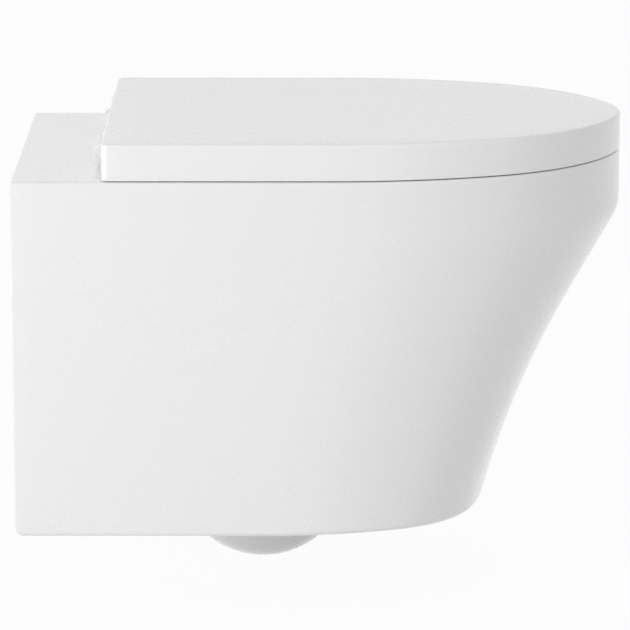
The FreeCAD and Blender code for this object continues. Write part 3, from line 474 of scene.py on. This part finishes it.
def trap_rings(radius):
    """Circles square to the path, each point in its direction from the middle, held off the plane between the legs."""
    points, headings = trap_path()
    outward = np.stack([-headings[:, 1], headings[:, 0]], axis=1)
    across = radius * np.cos(DIRECTIONS)[None, :, None] * outward[:, None, :]
    plane = points[:, None, :] + across
    between = np.array([math.sin(FRONT_LEAN) - math.sin(REAR_LEAN), math.cos(FRONT_LEAN) + math.cos(REAR_LEAN)])
    between /= np.linalg.norm(between)
    normal = np.array([between[1], -between[0]])
    side = np.sign((points - BEND_MIDDLE) @ normal)[:, None]
    distance = (plane - BEND_MIDDLE) @ normal
    crossing = np.where(side * distance < 0, distance, 0.0)
    plane = plane - crossing[:, :, None] * normal
    y = np.broadcast_to(radius * np.sin(DIRECTIONS), plane.shape[:2])
    return np.stack([plane[:, :, 0], y, plane[:, :, 1]], axis=2)


def eased(first, last, count):
    """Rings between two rings, spaced by a smooth step, without the two themselves."""
    share = run(0, 1, count + 1)[1:-1]
    share = (share ** 2 * (3 - 2 * share))[:, None, None]
    return first + (last - first) * share


print("rings along the trapway", len(trap_rings(TRAP_BORE)))

# %% [markdown]
# The pan is one unbroken surface, as its glaze is. Following it from the throat: up the bowl, over the rounded
# lip, across the deck, round the edge, down the skirt, round the lower edge, up inside the skirt, under the deck
# and down the outside of the bowl. The last ring meets the first, so the shell is closed. The trap is a second
# closed shell that carries on from the same two throat rings, deep down where the joint can't be seen.

# %% The casting
WALL = 11.0
DECK = 12.0
BACK_WALL = 14.0
EDGE = 2.0
REAR_CORNER = 1.2
LIP = 5.0
LOWER_EDGE = 5.0
LOWER_REAR_EDGE = 9.0


def quarter(count):
    """Sines and cosines from 0 to 90 degrees."""
    turn = run(0, math.pi / 2, count)
    return list(zip(np.sin(turn), np.cos(turn)))


def turned_under(depth, radius):
    """How far a lower edge of a radius has turned in at a depth: the radius less the height of its arc there."""
    past = max(0.0, depth - (PAN_HEIGHT - radius))
    return radius - math.sqrt(radius ** 2 - past ** 2)


def casting_rings():
    """All rings of the pan's shell, in the order told above."""
    inside = trap_rings(TRAP_BORE)
    outside = trap_rings(TRAP_OUTSIDE)
    bowl = np.array([bowl_ring(share) for share in run(1.0, (LIP + 1.0) / BOWL_DEPTH, 34)])
    lip = np.array([bowl_ring(0.0, 0.0, LIP * (1 - cosine)) + (0, 0, -LIP * (1 - sine)) for sine, cosine in quarter(6)])
    edge = np.array([outline(RIM - EDGE * (1 - cosine), EDGE * (1 - sine), EDGE * (1 - sine), REAR_CORNER)
                     for sine, cosine in quarter(5)])
    deck = lip[-1] + (edge[0] - lip[-1]) * run(0, 1, 6)[1:-1, None, None]
    depths = np.concatenate([run(EDGE, BLEND_START, 4)[1:], run(BLEND_START, BLEND_END, 8)[1:],
                             run(BLEND_END, KNEE_DEPTH, 8)[1:], run(KNEE_DEPTH, PAN_HEIGHT - LOWER_REAR_EDGE, 16)[1:]])
    skirt = np.array([skirt_ring(depth, corner=REAR_CORNER) for depth in depths])
    turns = [PAN_HEIGHT - LOWER_REAR_EDGE * (1 - sine) for sine, cosine in quarter(12)[1:]]
    under = np.array([skirt_ring(depth, turned_under(depth, LOWER_EDGE), turned_under(depth, LOWER_REAR_EDGE),
                                 REAR_CORNER) for depth in turns])
    crease_upwards = depths[13:4:-1]
    inner = np.array([skirt_ring(depth, WALL, BACK_WALL) for depth in
                      np.concatenate([[PAN_HEIGHT], run(PAN_HEIGHT - 1.5, KNEE_DEPTH, 14), crease_upwards,
                                      [BLEND_START, DECK + 6.0, DECK]])])
    outer_bowl = np.array([bowl_ring(share, BOWL_WALL) for share in run(DECK / (BOWL_DEPTH + BOWL_WALL), 1.0, 24)])
    under_deck = inner[-1] + (outer_bowl[0] - inner[-1]) * run(0, 1, 4)[1:-1, None, None]
    throat = eased(bowl[0], inside[0], 5)[::-1]
    outer_throat = eased(outer_bowl[-1], outside[0], 4)
    rings = [inside[:1], throat, bowl, lip, deck, edge, skirt, under, inner, under_deck, outer_bowl, outer_throat,
             outside[:1]]
    return np.concatenate(rings)


casting = ring_mesh("pan_casting", casting_rings(), joined=True)
trap = ring_mesh("pan_trap", np.concatenate([trap_rings(TRAP_BORE)[::-1], trap_rings(TRAP_OUTSIDE)]), joined=True)
print("casting", len(casting.data.polygons), "faces", [round(value, 4) for value in casting.dimensions])

# %% [markdown]
# The holes are carved last, with a Boolean that keeps the rest of the surface as it is: the arch in the back that
# lets the waste pipe in, the inlet, the two wall fixings, the two seat holes and the flush passage into the bowl.

# %% Carving tools
def bar(outline_points, start, end, axis):
    """A straight bar: a closed outline of (first, second) mm carried from start to end along X, Y or Z.

    The outline's two values fill the axes that are left, in their usual order.
    """
    outline_points = np.asarray(outline_points, float)
    rings = [np.insert(outline_points, "XYZ".index(axis), along, axis=1) for along in (start, end)]
    return ring_mesh("carver", rings)


def circle(radius, first=0.0, second=0.0, count=96):
    """Outline of a circle round (first, second)."""
    turn = np.arange(count) * 2 * math.pi / count
    return np.stack([first + radius * np.cos(turn), second + radius * np.sin(turn)], axis=1)


def rectangle(first_low, first_high, second_low, second_high, corner=0.0, count=8):
    """Outline of a rectangle whose corners are quarter arcs."""
    if not corner:
        return np.array([(first_low, second_low), (first_high, second_low), (first_high, second_high),
                         (first_low, second_high)])
    arcs = []
    middles = ((first_low + corner, second_low + corner), (first_high - corner, second_low + corner),
               (first_high - corner, second_high - corner), (first_low + corner, second_high - corner))
    for quarter_turn, middle in enumerate(middles):
        turn = run(0, math.pi / 2, count) + math.pi + quarter_turn * math.pi / 2
        arcs.append(np.array(middle) + corner * np.stack([np.cos(turn), np.sin(turn)], axis=1))
    return np.concatenate(arcs)


def carve(piece, carvers, operation="DIFFERENCE"):
    """Applies one exact Boolean per carver to the piece's own mesh, then removes the carvers."""
    for carver in carvers:
        modifier = piece.modifiers.new("carve", "BOOLEAN")
        modifier.object = carver
        modifier.operation = operation
        modifier.solver = "EXACT"
    bpy.context.view_layer.update()
    shaped = piece.evaluated_get(bpy.context.evaluated_depsgraph_get())
    piece.data = bpy.data.meshes.new_from_object(shaped)
    piece.modifiers.clear()
    for carver in carvers:
        bpy.data.objects.remove(carver)
    tidy_faces(piece)


# %% [markdown]
# A carver reaches a few millimetres past the walls that it goes through. The inlet's has 98 sides, so that none of
# its corners falls on the row of points down the middle of the back, which would leave a thin dark face.

# %% Holes in the pan
FIXING_Y = 90.0
FIXING_RADIUS = 11.0
HINGE_X = 94.0
HINGE_Y = 77.5
HINGE_HOLE_RADIUS = 8.0
ARCH_HALF_WIDTH = 137.0
ARCH_TOP = -36.0
ARCH_CORNER = 30.0
INLET_LEVEL = 35.0
INLET_RADIUS = 27.5
PASSAGE_RADIUS = 16.0
arch = rectangle(-ARCH_HALF_WIDTH, ARCH_HALF_WIDTH, -300.0, ARCH_TOP, ARCH_CORNER)
holes = [bar(arch, -5.0, BACK_WALL + 3.0, "X"),
         bar(circle(INLET_RADIUS, 0.0, INLET_LEVEL, 98), -5.0, BACK_WALL + 5.0, "X"),
         bar(circle(PASSAGE_RADIUS, 0.0, INLET_LEVEL), 120.0, 220.0, "X")]
for side in (1, -1):
    holes.append(bar(circle(FIXING_RADIUS, side * FIXING_Y, 0.0), -5.0, BACK_WALL + 5.0, "X"))
for side in (1, -1):
    holes.append(bar(circle(HINGE_HOLE_RADIUS, HINGE_X, side * HINGE_Y), RIM - DECK - 3.0, RIM + 3.0, "Z"))
carve(casting, holes)
print("carved pan", len(casting.data.polygons), "faces")

# %% [markdown]
# Round pieces are turned: a profile of radius and height goes round an axis. The flush socket is one, a thick
# sleeve with a step inside, and so are the buffers, caps, gaskets and base plates further on. A small quarter
# arc on each edge of a profile gives the soft highlight that moulded and glazed pieces have.

# %% Turning
POLE = 0.05


def turned(name, profile, axis, place, count=72):
    """A profile of (radius, along) points carried round an axis through a place in mm.

    A profile that starts at the tiny radius POLE is a solid piece, any other closes on itself as a sleeve.
    """
    profile = np.asarray(profile, float)
    turn = np.arange(count) * 2 * math.pi / count
    radius, along = profile[:, :1], np.broadcast_to(profile[:, 1:], (len(profile), count))
    plane = [radius * np.cos(turn), radius * np.sin(turn)]
    plane.insert("XYZ".index(axis), along)
    return ring_mesh(name, np.stack(plane, axis=2) + np.asarray(place, float), joined=profile[0][0] > POLE)


def rounded(points, radii, count=5):
    """A profile whose corners are arcs: each corner is cut back by its radius and bridged by a smooth curve."""
    points = [np.array(point, float) for point in points]
    shaped = []
    for index, (corner, radius) in enumerate(zip(points, radii)):
        before, after = points[index - 1], points[(index + 1) % len(points)]
        if not radius:
            shaped.append(corner)
            continue
        start = corner + (before - corner) / np.linalg.norm(before - corner) * radius
        end = corner + (after - corner) / np.linalg.norm(after - corner) * radius
        for share in run(0, 1, count):
            shaped.append((1 - share) ** 2 * start + 2 * share * (1 - share) * corner + share ** 2 * end)
    return np.array(shaped)


SOCKET_BORE = INLET_RADIUS - 0.1
SOCKET_RADIUS = 35.5
SOCKET_DEPTH = 45.0
SOCKET_END = 163.0
COLLAR_RADIUS = 28.4
COLLAR_START = 8.0
COLLAR_END = 13.0
socket_profile = rounded([(SOCKET_BORE, COLLAR_START), (SOCKET_BORE, SOCKET_DEPTH), (PASSAGE_RADIUS, SOCKET_DEPTH),
                          (PASSAGE_RADIUS, SOCKET_END), (SOCKET_RADIUS, SOCKET_END), (SOCKET_RADIUS, COLLAR_END),
                          (COLLAR_RADIUS, COLLAR_END), (COLLAR_RADIUS, COLLAR_START)], (0, 2.0, 2.0, 0, 0, 0, 0, 0))
socket = turned("flush_socket", socket_profile, "X", (0, 0, INLET_LEVEL))
print("flush socket", [round(value, 4) for value in socket.dimensions])

# %% [markdown]
# The lid is a shallow tray turned upside down: a flat top, a soft edge and a thin skirt that comes down round the
# ring. Its rings run from the middle of the top outwards, over the edge, down, in, and back under the top.

# %% The lid
LID_REAR = 79.0
LID_BOTTOM = 81.0
LID_TOP = 113.4
LID_CEILING = 108.4
LID_SKIRT = 4.0
LID_EDGE = 2.0
LID_CORNER = 6.5
LID_FOOT_EDGE = 0.8
LID_INNER_EDGE = 2.0
LID_MIDDLE = np.array([310.0, 0.0, 0.0])


def drawn_in(ring, count, smallest=0.02):
    """Copies of a ring that shrink in their own plane towards the lid's middle, the smallest first."""
    middle = LID_MIDDLE * (1, 1, 0) + (0, 0, ring[0, 2])
    return middle + (ring - middle) * run(smallest, 1, count)[:-1, None, None]


def lid_ring(level, inset):
    """The lid's outline, moved in on all sides, with rear corners that get tighter inside."""
    return outline(level, inset, LID_REAR + inset, LID_CORNER - min(inset, 4.5))


def lid_rings():
    """Rings from the middle of the top to the middle of the ceiling under it."""
    edge = np.array([lid_ring(LID_TOP - LID_EDGE * (1 - cosine), LID_EDGE * (1 - sine)) for sine, cosine in quarter(5)])
    side = np.array([lid_ring(level, 0.0) for level in run(LID_TOP - LID_EDGE, LID_BOTTOM + LID_FOOT_EDGE, 4)[1:]])
    foot = np.array([lid_ring(LID_BOTTOM + LID_FOOT_EDGE * (1 - sine), LID_FOOT_EDGE * (1 - cosine))
                     for sine, cosine in quarter(3)[1:]])
    inner = np.array([lid_ring(level, LID_SKIRT) for level in run(LID_BOTTOM, LID_CEILING - LID_INNER_EDGE, 3)])
    inner_edge = np.array([lid_ring(LID_CEILING - LID_INNER_EDGE * (1 - sine),
                                    LID_SKIRT + LID_INNER_EDGE * (1 - cosine)) for sine, cosine in quarter(4)[1:]])
    return np.concatenate([drawn_in(edge[0], 8), edge, side, foot, inner, inner_edge,
                           drawn_in(inner_edge[-1], 8)[::-1]])


lid = ring_mesh("seat_lid", lid_rings())
print("lid", [round(value, 4) for value in lid.dimensions])

# %% [markdown]
# Both the lid and the ring turn on one line behind them, on knuckles that stand either side of the hinge
# barrels. The lid's back has a notch for each barrel and the ring's knuckle beside it.

# %% Knuckles and notches
PIVOT_X = 77.0
PIVOT_LEVEL = 91.5
BARREL = 7.5
SIDE_GAP = 0.3
BARREL_INNER = 65.0
BARREL_OUTER = 90.0
KNUCKLE = 6.0
CAP_RADIUS = 6.2
CAP_THICKNESS = 1.2
CAP_SEAT_RADIUS = CAP_RADIUS + 0.05
HALF_FLATS = 2.25


def knuckle(low, high):
    """A short barrel on the pivot line with softened rims."""
    profile = [(POLE, low), (BARREL, low), (BARREL, high), (POLE, high)]
    return turned("knuckle", rounded(profile, (0, 0.5, 0.5, 0), 3), "Y", (PIVOT_X, 0, PIVOT_LEVEL), 64)


def pin_bore(low, high, flat=3.05, radius=3.05):
    """A bar on the pivot line, round or with two flats: a circle whose heights are held to plus and minus `flat`."""
    section = circle(radius, count=48)
    section[:, 1] = np.clip(section[:, 1], -flat, flat)
    return bar(section + (PIVOT_X, PIVOT_LEVEL), low, high, "Y")


def mirrored_pairs(maker, low, high):
    """The same maker for the +Y side and, with its limits swapped and negated, for the -Y side."""
    return [maker(low, high), maker(-high, -low)]


def bars_across(section, low, high):
    """The pair of bars along Y with one section, an outline of (X, Z) points."""
    return mirrored_pairs(lambda start, end: bar(section, start, end, "Y"), low, high)


outer_low, outer_high = BARREL_OUTER + SIDE_GAP, BARREL_OUTER + SIDE_GAP + KNUCKLE
notch = rectangle(LID_REAR - 2, LID_REAR + LID_SKIRT + 2, LID_BOTTOM - 2, PIVOT_LEVEL + BARREL + 1.5)
carve(lid, bars_across(notch, BARREL_INNER - SIDE_GAP * 2 - KNUCKLE, outer_low))
web = rectangle(PIVOT_X, 90.0, PIVOT_LEVEL, LID_CEILING + 1.0)
carve(lid, mirrored_pairs(knuckle, outer_low, outer_high) + bars_across(web, outer_low, outer_high), "UNION")
cap_seats = mirrored_pairs(lambda low, high: pin_bore(low, high, CAP_SEAT_RADIUS, CAP_SEAT_RADIUS),
                           outer_high - CAP_THICKNESS, outer_high + 1.0)
carve(lid, cap_seats + [pin_bore(outer_low - 1.0, outer_high, HALF_FLATS), pin_bore(-outer_high, 1.0 - outer_low)])
print("lid with knuckles", len(lid.data.polygons), "faces")

# %% [markdown]
# The ring lies inside the lid's skirt. Its hole is an oval like the bowl's, with a full, rounded edge to sit on,
# and its outer edge follows the lid at a short distance. It has a deep notch for each barrel, and its knuckles
# are on the barrels' inner sides.

# %% The seat ring
SEAT_BOTTOM = 86.0
SEAT_TOP = 104.0
SEAT_REAR = 92.0
SEAT_INSET = 6.0
SEAT_EDGE = 4.0
SEAT_HOLE_EDGE = 7.0
SEAT_HOLE_CENTRE = 330.0
SEAT_HOLE_HALF_LENGTH = 140.0
SEAT_HOLE_HALF_WIDTH = 108.0
NOTCH_DEPTH = 17.0


def seat_ring_rings():
    """Round the ring's section: up the hole, over its edge, across the top, over the outer edge and back below."""
    def hole(level, grown):
        return oval(level, SEAT_HOLE_CENTRE, SEAT_HOLE_HALF_LENGTH + grown, SEAT_HOLE_HALF_WIDTH + grown)

    def rim(level, inset):
        return outline(level, SEAT_INSET + inset, SEAT_REAR + inset, SEAT_EDGE)

    inner_side = np.array([hole(level, 0.0) for level in run(SEAT_BOTTOM + 1.0, SEAT_TOP - SEAT_HOLE_EDGE, 3)])
    inner_edge = np.array([hole(SEAT_TOP - SEAT_HOLE_EDGE * (1 - sine), SEAT_HOLE_EDGE * (1 - cosine))
                           for sine, cosine in quarter(7)[1:]])
    outer_edge = np.array([rim(SEAT_TOP - SEAT_EDGE * (1 - cosine), SEAT_EDGE * (1 - sine))
                           for sine, cosine in quarter(5)])
    outer_side = np.array([rim(level, 0.0) for level in run(SEAT_TOP - SEAT_EDGE, SEAT_BOTTOM + 1.0, 3)[1:]])
    lower_edge = np.array([rim(SEAT_BOTTOM + (1 - sine), 1 - cosine) for sine, cosine in quarter(3)[1:]])
    lower_hole = np.array([hole(SEAT_BOTTOM + (1 - cosine), 1 - sine) for sine, cosine in quarter(3)[:-1]])
    top = inner_edge[-1] + (outer_edge[0] - inner_edge[-1]) * run(0, 1, 5)[1:-1, None, None]
    base = lower_edge[-1] + (lower_hole[0] - lower_edge[-1]) * run(0, 1, 5)[1:-1, None, None]
    return np.concatenate([inner_side, inner_edge, top, outer_edge, outer_side, lower_edge, base, lower_hole])


ring = ring_mesh("seat_cushion_ring", seat_ring_rings(), joined=True)
inner_low, inner_high = BARREL_INNER - SIDE_GAP - KNUCKLE, BARREL_INNER - SIDE_GAP
notch = rectangle(SEAT_REAR - 2, SEAT_REAR + NOTCH_DEPTH, SEAT_BOTTOM - 2, SEAT_TOP + 2)
carve(ring, bars_across(notch, inner_high, BARREL_OUTER + SIDE_GAP))
web = rectangle(PIVOT_X, 99.5, SEAT_BOTTOM, PIVOT_LEVEL + BARREL)
carve(ring, mirrored_pairs(knuckle, inner_low, inner_high) + bars_across(web, inner_low, inner_high), "UNION")
carve(ring, [pin_bore(inner_low - 1.0, inner_high + 1.0), pin_bore(-inner_high - 1.0, 1.0 - inner_low, HALF_FLATS)])
print("seat ring", len(ring.data.polygons), "faces")

# %% [markdown]
# Soft buffers keep the resin off the ceramic and the lid off the ring. Each is a small moulded puck: flat where it
# is glued or plugged in, with a rounded face where it lands. The hinge caps are shallow discs let into the lid's
# knuckles, and each hinge stands on a round base plate over a thin gasket.

# %% Small round pieces
def puck(name, radius, low, high, x, y, edge, seat_edge=0.3):
    """A disc on a Z axis whose lower rim is rounded by `edge` and whose upper rim by `seat_edge`."""
    profile = rounded([(POLE, low), (radius, low), (radius, high), (POLE, high)], (0, edge, seat_edge, 0))
    return turned(name, profile, "Z", (x, y, 0), 64)


BUFFER_PLACES = (("rear", 150.0, 138.0, 135.0, 130.0), ("front", 430.0, 131.0, 440.0, 115.0))
LANDING_GAP = 0.3
SEAT_BUFFER_RADIUS = 8.0
LID_BUFFER_RADIUS = 6.0
BASE_RADIUS = 13.0
GASKET_TOP = 81.0
BASE_TOP = 84.0
round_pieces = []
for side, hand in ((1, "left"), (-1, "right")):
    for place, x, y, lid_x, lid_y in BUFFER_PLACES:
        end = "%s_%s" % (place, hand)
        foot = puck("seat_foot_" + end, SEAT_BUFFER_RADIUS, RIM + LANDING_GAP, SEAT_BOTTOM, x, side * y, 1.6)
        stop = puck("lid_stop_" + end, LID_BUFFER_RADIUS, SEAT_TOP + LANDING_GAP, LID_CEILING, lid_x, side * lid_y, 1.4)
        round_pieces.append((foot, "seat", "seat_buffer_" + end, "rubber", soft_rubber))
        round_pieces.append((stop, "lid", "lid_buffer_" + end, "rubber", soft_rubber))
    base = puck("base_plate_" + hand, BASE_RADIUS, GASKET_TOP, BASE_TOP, HINGE_X, side * HINGE_Y, 0.3, 1.2)
    gasket = puck("base_gasket_" + hand, BASE_RADIUS, RIM, GASKET_TOP, HINGE_X, side * HINGE_Y, 0.1, 0.1)
    cap_low, cap_high = sorted((side * (outer_high - CAP_THICKNESS), side * outer_high))
    cap_profile = rounded([(POLE, cap_low), (CAP_RADIUS, cap_low), (CAP_RADIUS, cap_high), (POLE, cap_high)],
                          (0, 0.3, 0.3, 0), 3)
    cap = turned("knuckle_cap_" + hand, cap_profile, "Y", (PIVOT_X, 0, PIVOT_LEVEL), 64)
    round_pieces.append((base, "pan", "hinge_base_" + hand, "hinge_plastic", hinge_plastic))
    round_pieces.append((gasket, "pan", "hinge_gasket_" + hand, "rubber", soft_rubber))
    round_pieces.append((cap, "lid", "hinge_cap_" + hand, "hinge_plastic", hinge_plastic))
for piece, body, node, slot, finish in round_pieces:
    piece.data.materials.append(finish)
    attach(piece, body)
    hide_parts(node)
print("round pieces", len(round_pieces))

# %% [markdown]
# Each large surface rides on the body whose solids it stands for, so it moves with them.

# %% Large surfaces
large_surfaces = (
    (casting, "pan", "glazed_ceramic", sanitary_glaze, ("pan_rim", "pan_shroud", "pan_bowl", "pan_back_wall")),
    (trap, "pan", "glazed_ceramic", sanitary_glaze, ("pan_trapway",)),
    (socket, "pan", "glazed_ceramic", sanitary_glaze, ("pan_inlet",)),
    (lid, "lid", "seat_plastic", pressed_resin, ("lid",)),
    (ring, "seat", "seat_plastic", pressed_resin, ("seat_ring",)))
for piece, body, slot, finish, nodes in large_surfaces:
    piece.data.materials.clear()
    piece.data.materials.append(finish)
    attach(piece, body)
    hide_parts(*nodes)
print("large surfaces", len(large_surfaces))

# %% [markdown]
# The other solids are small and already have their true shape, so they keep it and only get a finish.

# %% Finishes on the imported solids
FINISHES = {"hinge_housing": hinge_plastic, "release_button": hinge_plastic, "fixing_bush": hinge_plastic,
            "damper_body": acetal, "damper_rotor": acetal, "anchor_sleeve": nylon, "hinge_post": steel,
            "hinge_stub": steel, "anchor_nut": steel, "release_springs": steel}
finished = 0
for node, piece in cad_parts.items():
    kind = node.rsplit("_", 1)[0]
    if kind in FINISHES:
        piece.data.materials.clear()
        piece.data.materials.append(FINISHES[kind])
        finished += 1
print("packed solids with a finish", finished)

# %% [markdown]
# The pan hangs 400 mm high, so the floor lies 320 mm under its fixings. The photograph's background is pure white
# and its shadow is hardly there. The floor therefore looks mostly like plain white light to the camera, and only
# a small share of it is a real surface that takes the shadow.

# %% Floor and background
FLOOR_LEVEL = -0.32
FLOOR_REACH = 60.0
WHITE_SHARE = 0.95
AMBIENT = 0.5


def seen_directly(place):
    """1 for camera, mirror and glass rays, 0 for the rays that light the object."""
    rays = [place.node("ShaderNodeLightPath", output=index) for index in (0, 3, 6)]
    return rays[0].maths("MAXIMUM", rays[0], rays[1].maths("MAXIMUM", rays[1], rays[2]))


def white_floor():
    """Plain white light for the most part, and a dull white surface for the rest."""
    material, place = new_material("white_floor")
    surface = place.node("ShaderNodeBsdfPrincipled", None, {
        "Base Color": tint(place, noise(place, 2.0), (0.88, 0.88, 0.88), (0.9, 0.9, 0.9)), "Roughness": 0.9,
        "Specular IOR Level": 0.1})
    light = place.node("ShaderNodeEmission", None, {"Color": (1.0, 1.0, 1.0, 1.0), "Strength": 1.0})
    shader = place.node("ShaderNodeMixShader", None,
                        {0: seen_directly(place) * WHITE_SHARE, 1: surface, 2: light})
    return finish_material(material, shader)


mesh = bpy.data.meshes.new("floor")
mesh.from_pydata([(x * FLOOR_REACH, y * FLOOR_REACH, FLOOR_LEVEL) for x, y in ((-1, -1), (1, -1), (1, 1), (-1, 1))],
                 [], [(0, 1, 2, 3)])
floor = bpy.data.objects.new("floor", mesh)
floor.data.materials.append(white_floor())
bpy.context.scene.collection.objects.link(floor)

world = bpy.data.worlds.new("studio")
world.use_nodes = True
world.node_tree.nodes.clear()
start = add_node(world.node_tree, "ShaderNodeLightPath")
grey = start.node("ShaderNodeBackground", None, {"Color": (1.0, 1.0, 1.0, 1.0), "Strength": AMBIENT})
white = start.node("ShaderNodeBackground", None, {"Color": (1.0, 1.0, 1.0, 1.0), "Strength": 1.0})
mixed = start.node("ShaderNodeMixShader", None, {0: seen_directly(start), 1: grey, 2: white})
output = world.node_tree.nodes.new("ShaderNodeOutputWorld")
world.node_tree.links.new(mixed.socket, output.inputs["Surface"])
bpy.context.scene.world = world
print("floor", FLOOR_LEVEL, "m, surroundings", AMBIENT)

# %% [markdown]
# The surroundings give soft light from everywhere. Two large soft lamps on the camera's side add to it, the
# stronger one towards the wall, so the front of the pan falls into a softer tone as it does in the photograph.
# A glossy lid seen from the far side would mirror the strong lamp as a burnt-out patch. So most of that lamp's
# light shows in no shine, and a weaker lamp at the same place gives the shine.

# %% Lamps
SOFT_LAMP_PLACE = (-1.45, -1.55, 0.5)
SOFT_LAMP_AIM = (0.25, 0.0, -0.05)


def lamp(name, place, aim, size, power, mirrored=True):
    """A square area lamp that faces a point. Unless mirrored, it lights the piece but shows in no shine."""
    data = bpy.data.lights.new(name, "AREA")
    data.size = size
    data.energy = power
    piece = bpy.data.objects.new(name, data)
    piece.location = place
    direction = np.array(aim) - np.array(place)
    flat = math.hypot(direction[0], direction[1])
    piece.rotation_euler = (math.atan2(flat, -direction[2]), 0.0, math.atan2(direction[1], direction[0]) - math.pi / 2)
    piece.visible_camera = False
    piece.visible_glossy = mirrored
    bpy.context.scene.collection.objects.link(piece)


lamp("wall_side_lamp", SOFT_LAMP_PLACE, SOFT_LAMP_AIM, 2.0, 28.5, mirrored=False)
lamp("wall_side_shine_lamp", SOFT_LAMP_PLACE, SOFT_LAMP_AIM, 2.0, 7.5)
lamp("front_fill_lamp", (2.2, -1.6, 1.3), (0.35, 0.0, -0.05), 3.0, 7.0)
print("lamps", [item.name for item in bpy.data.lights])
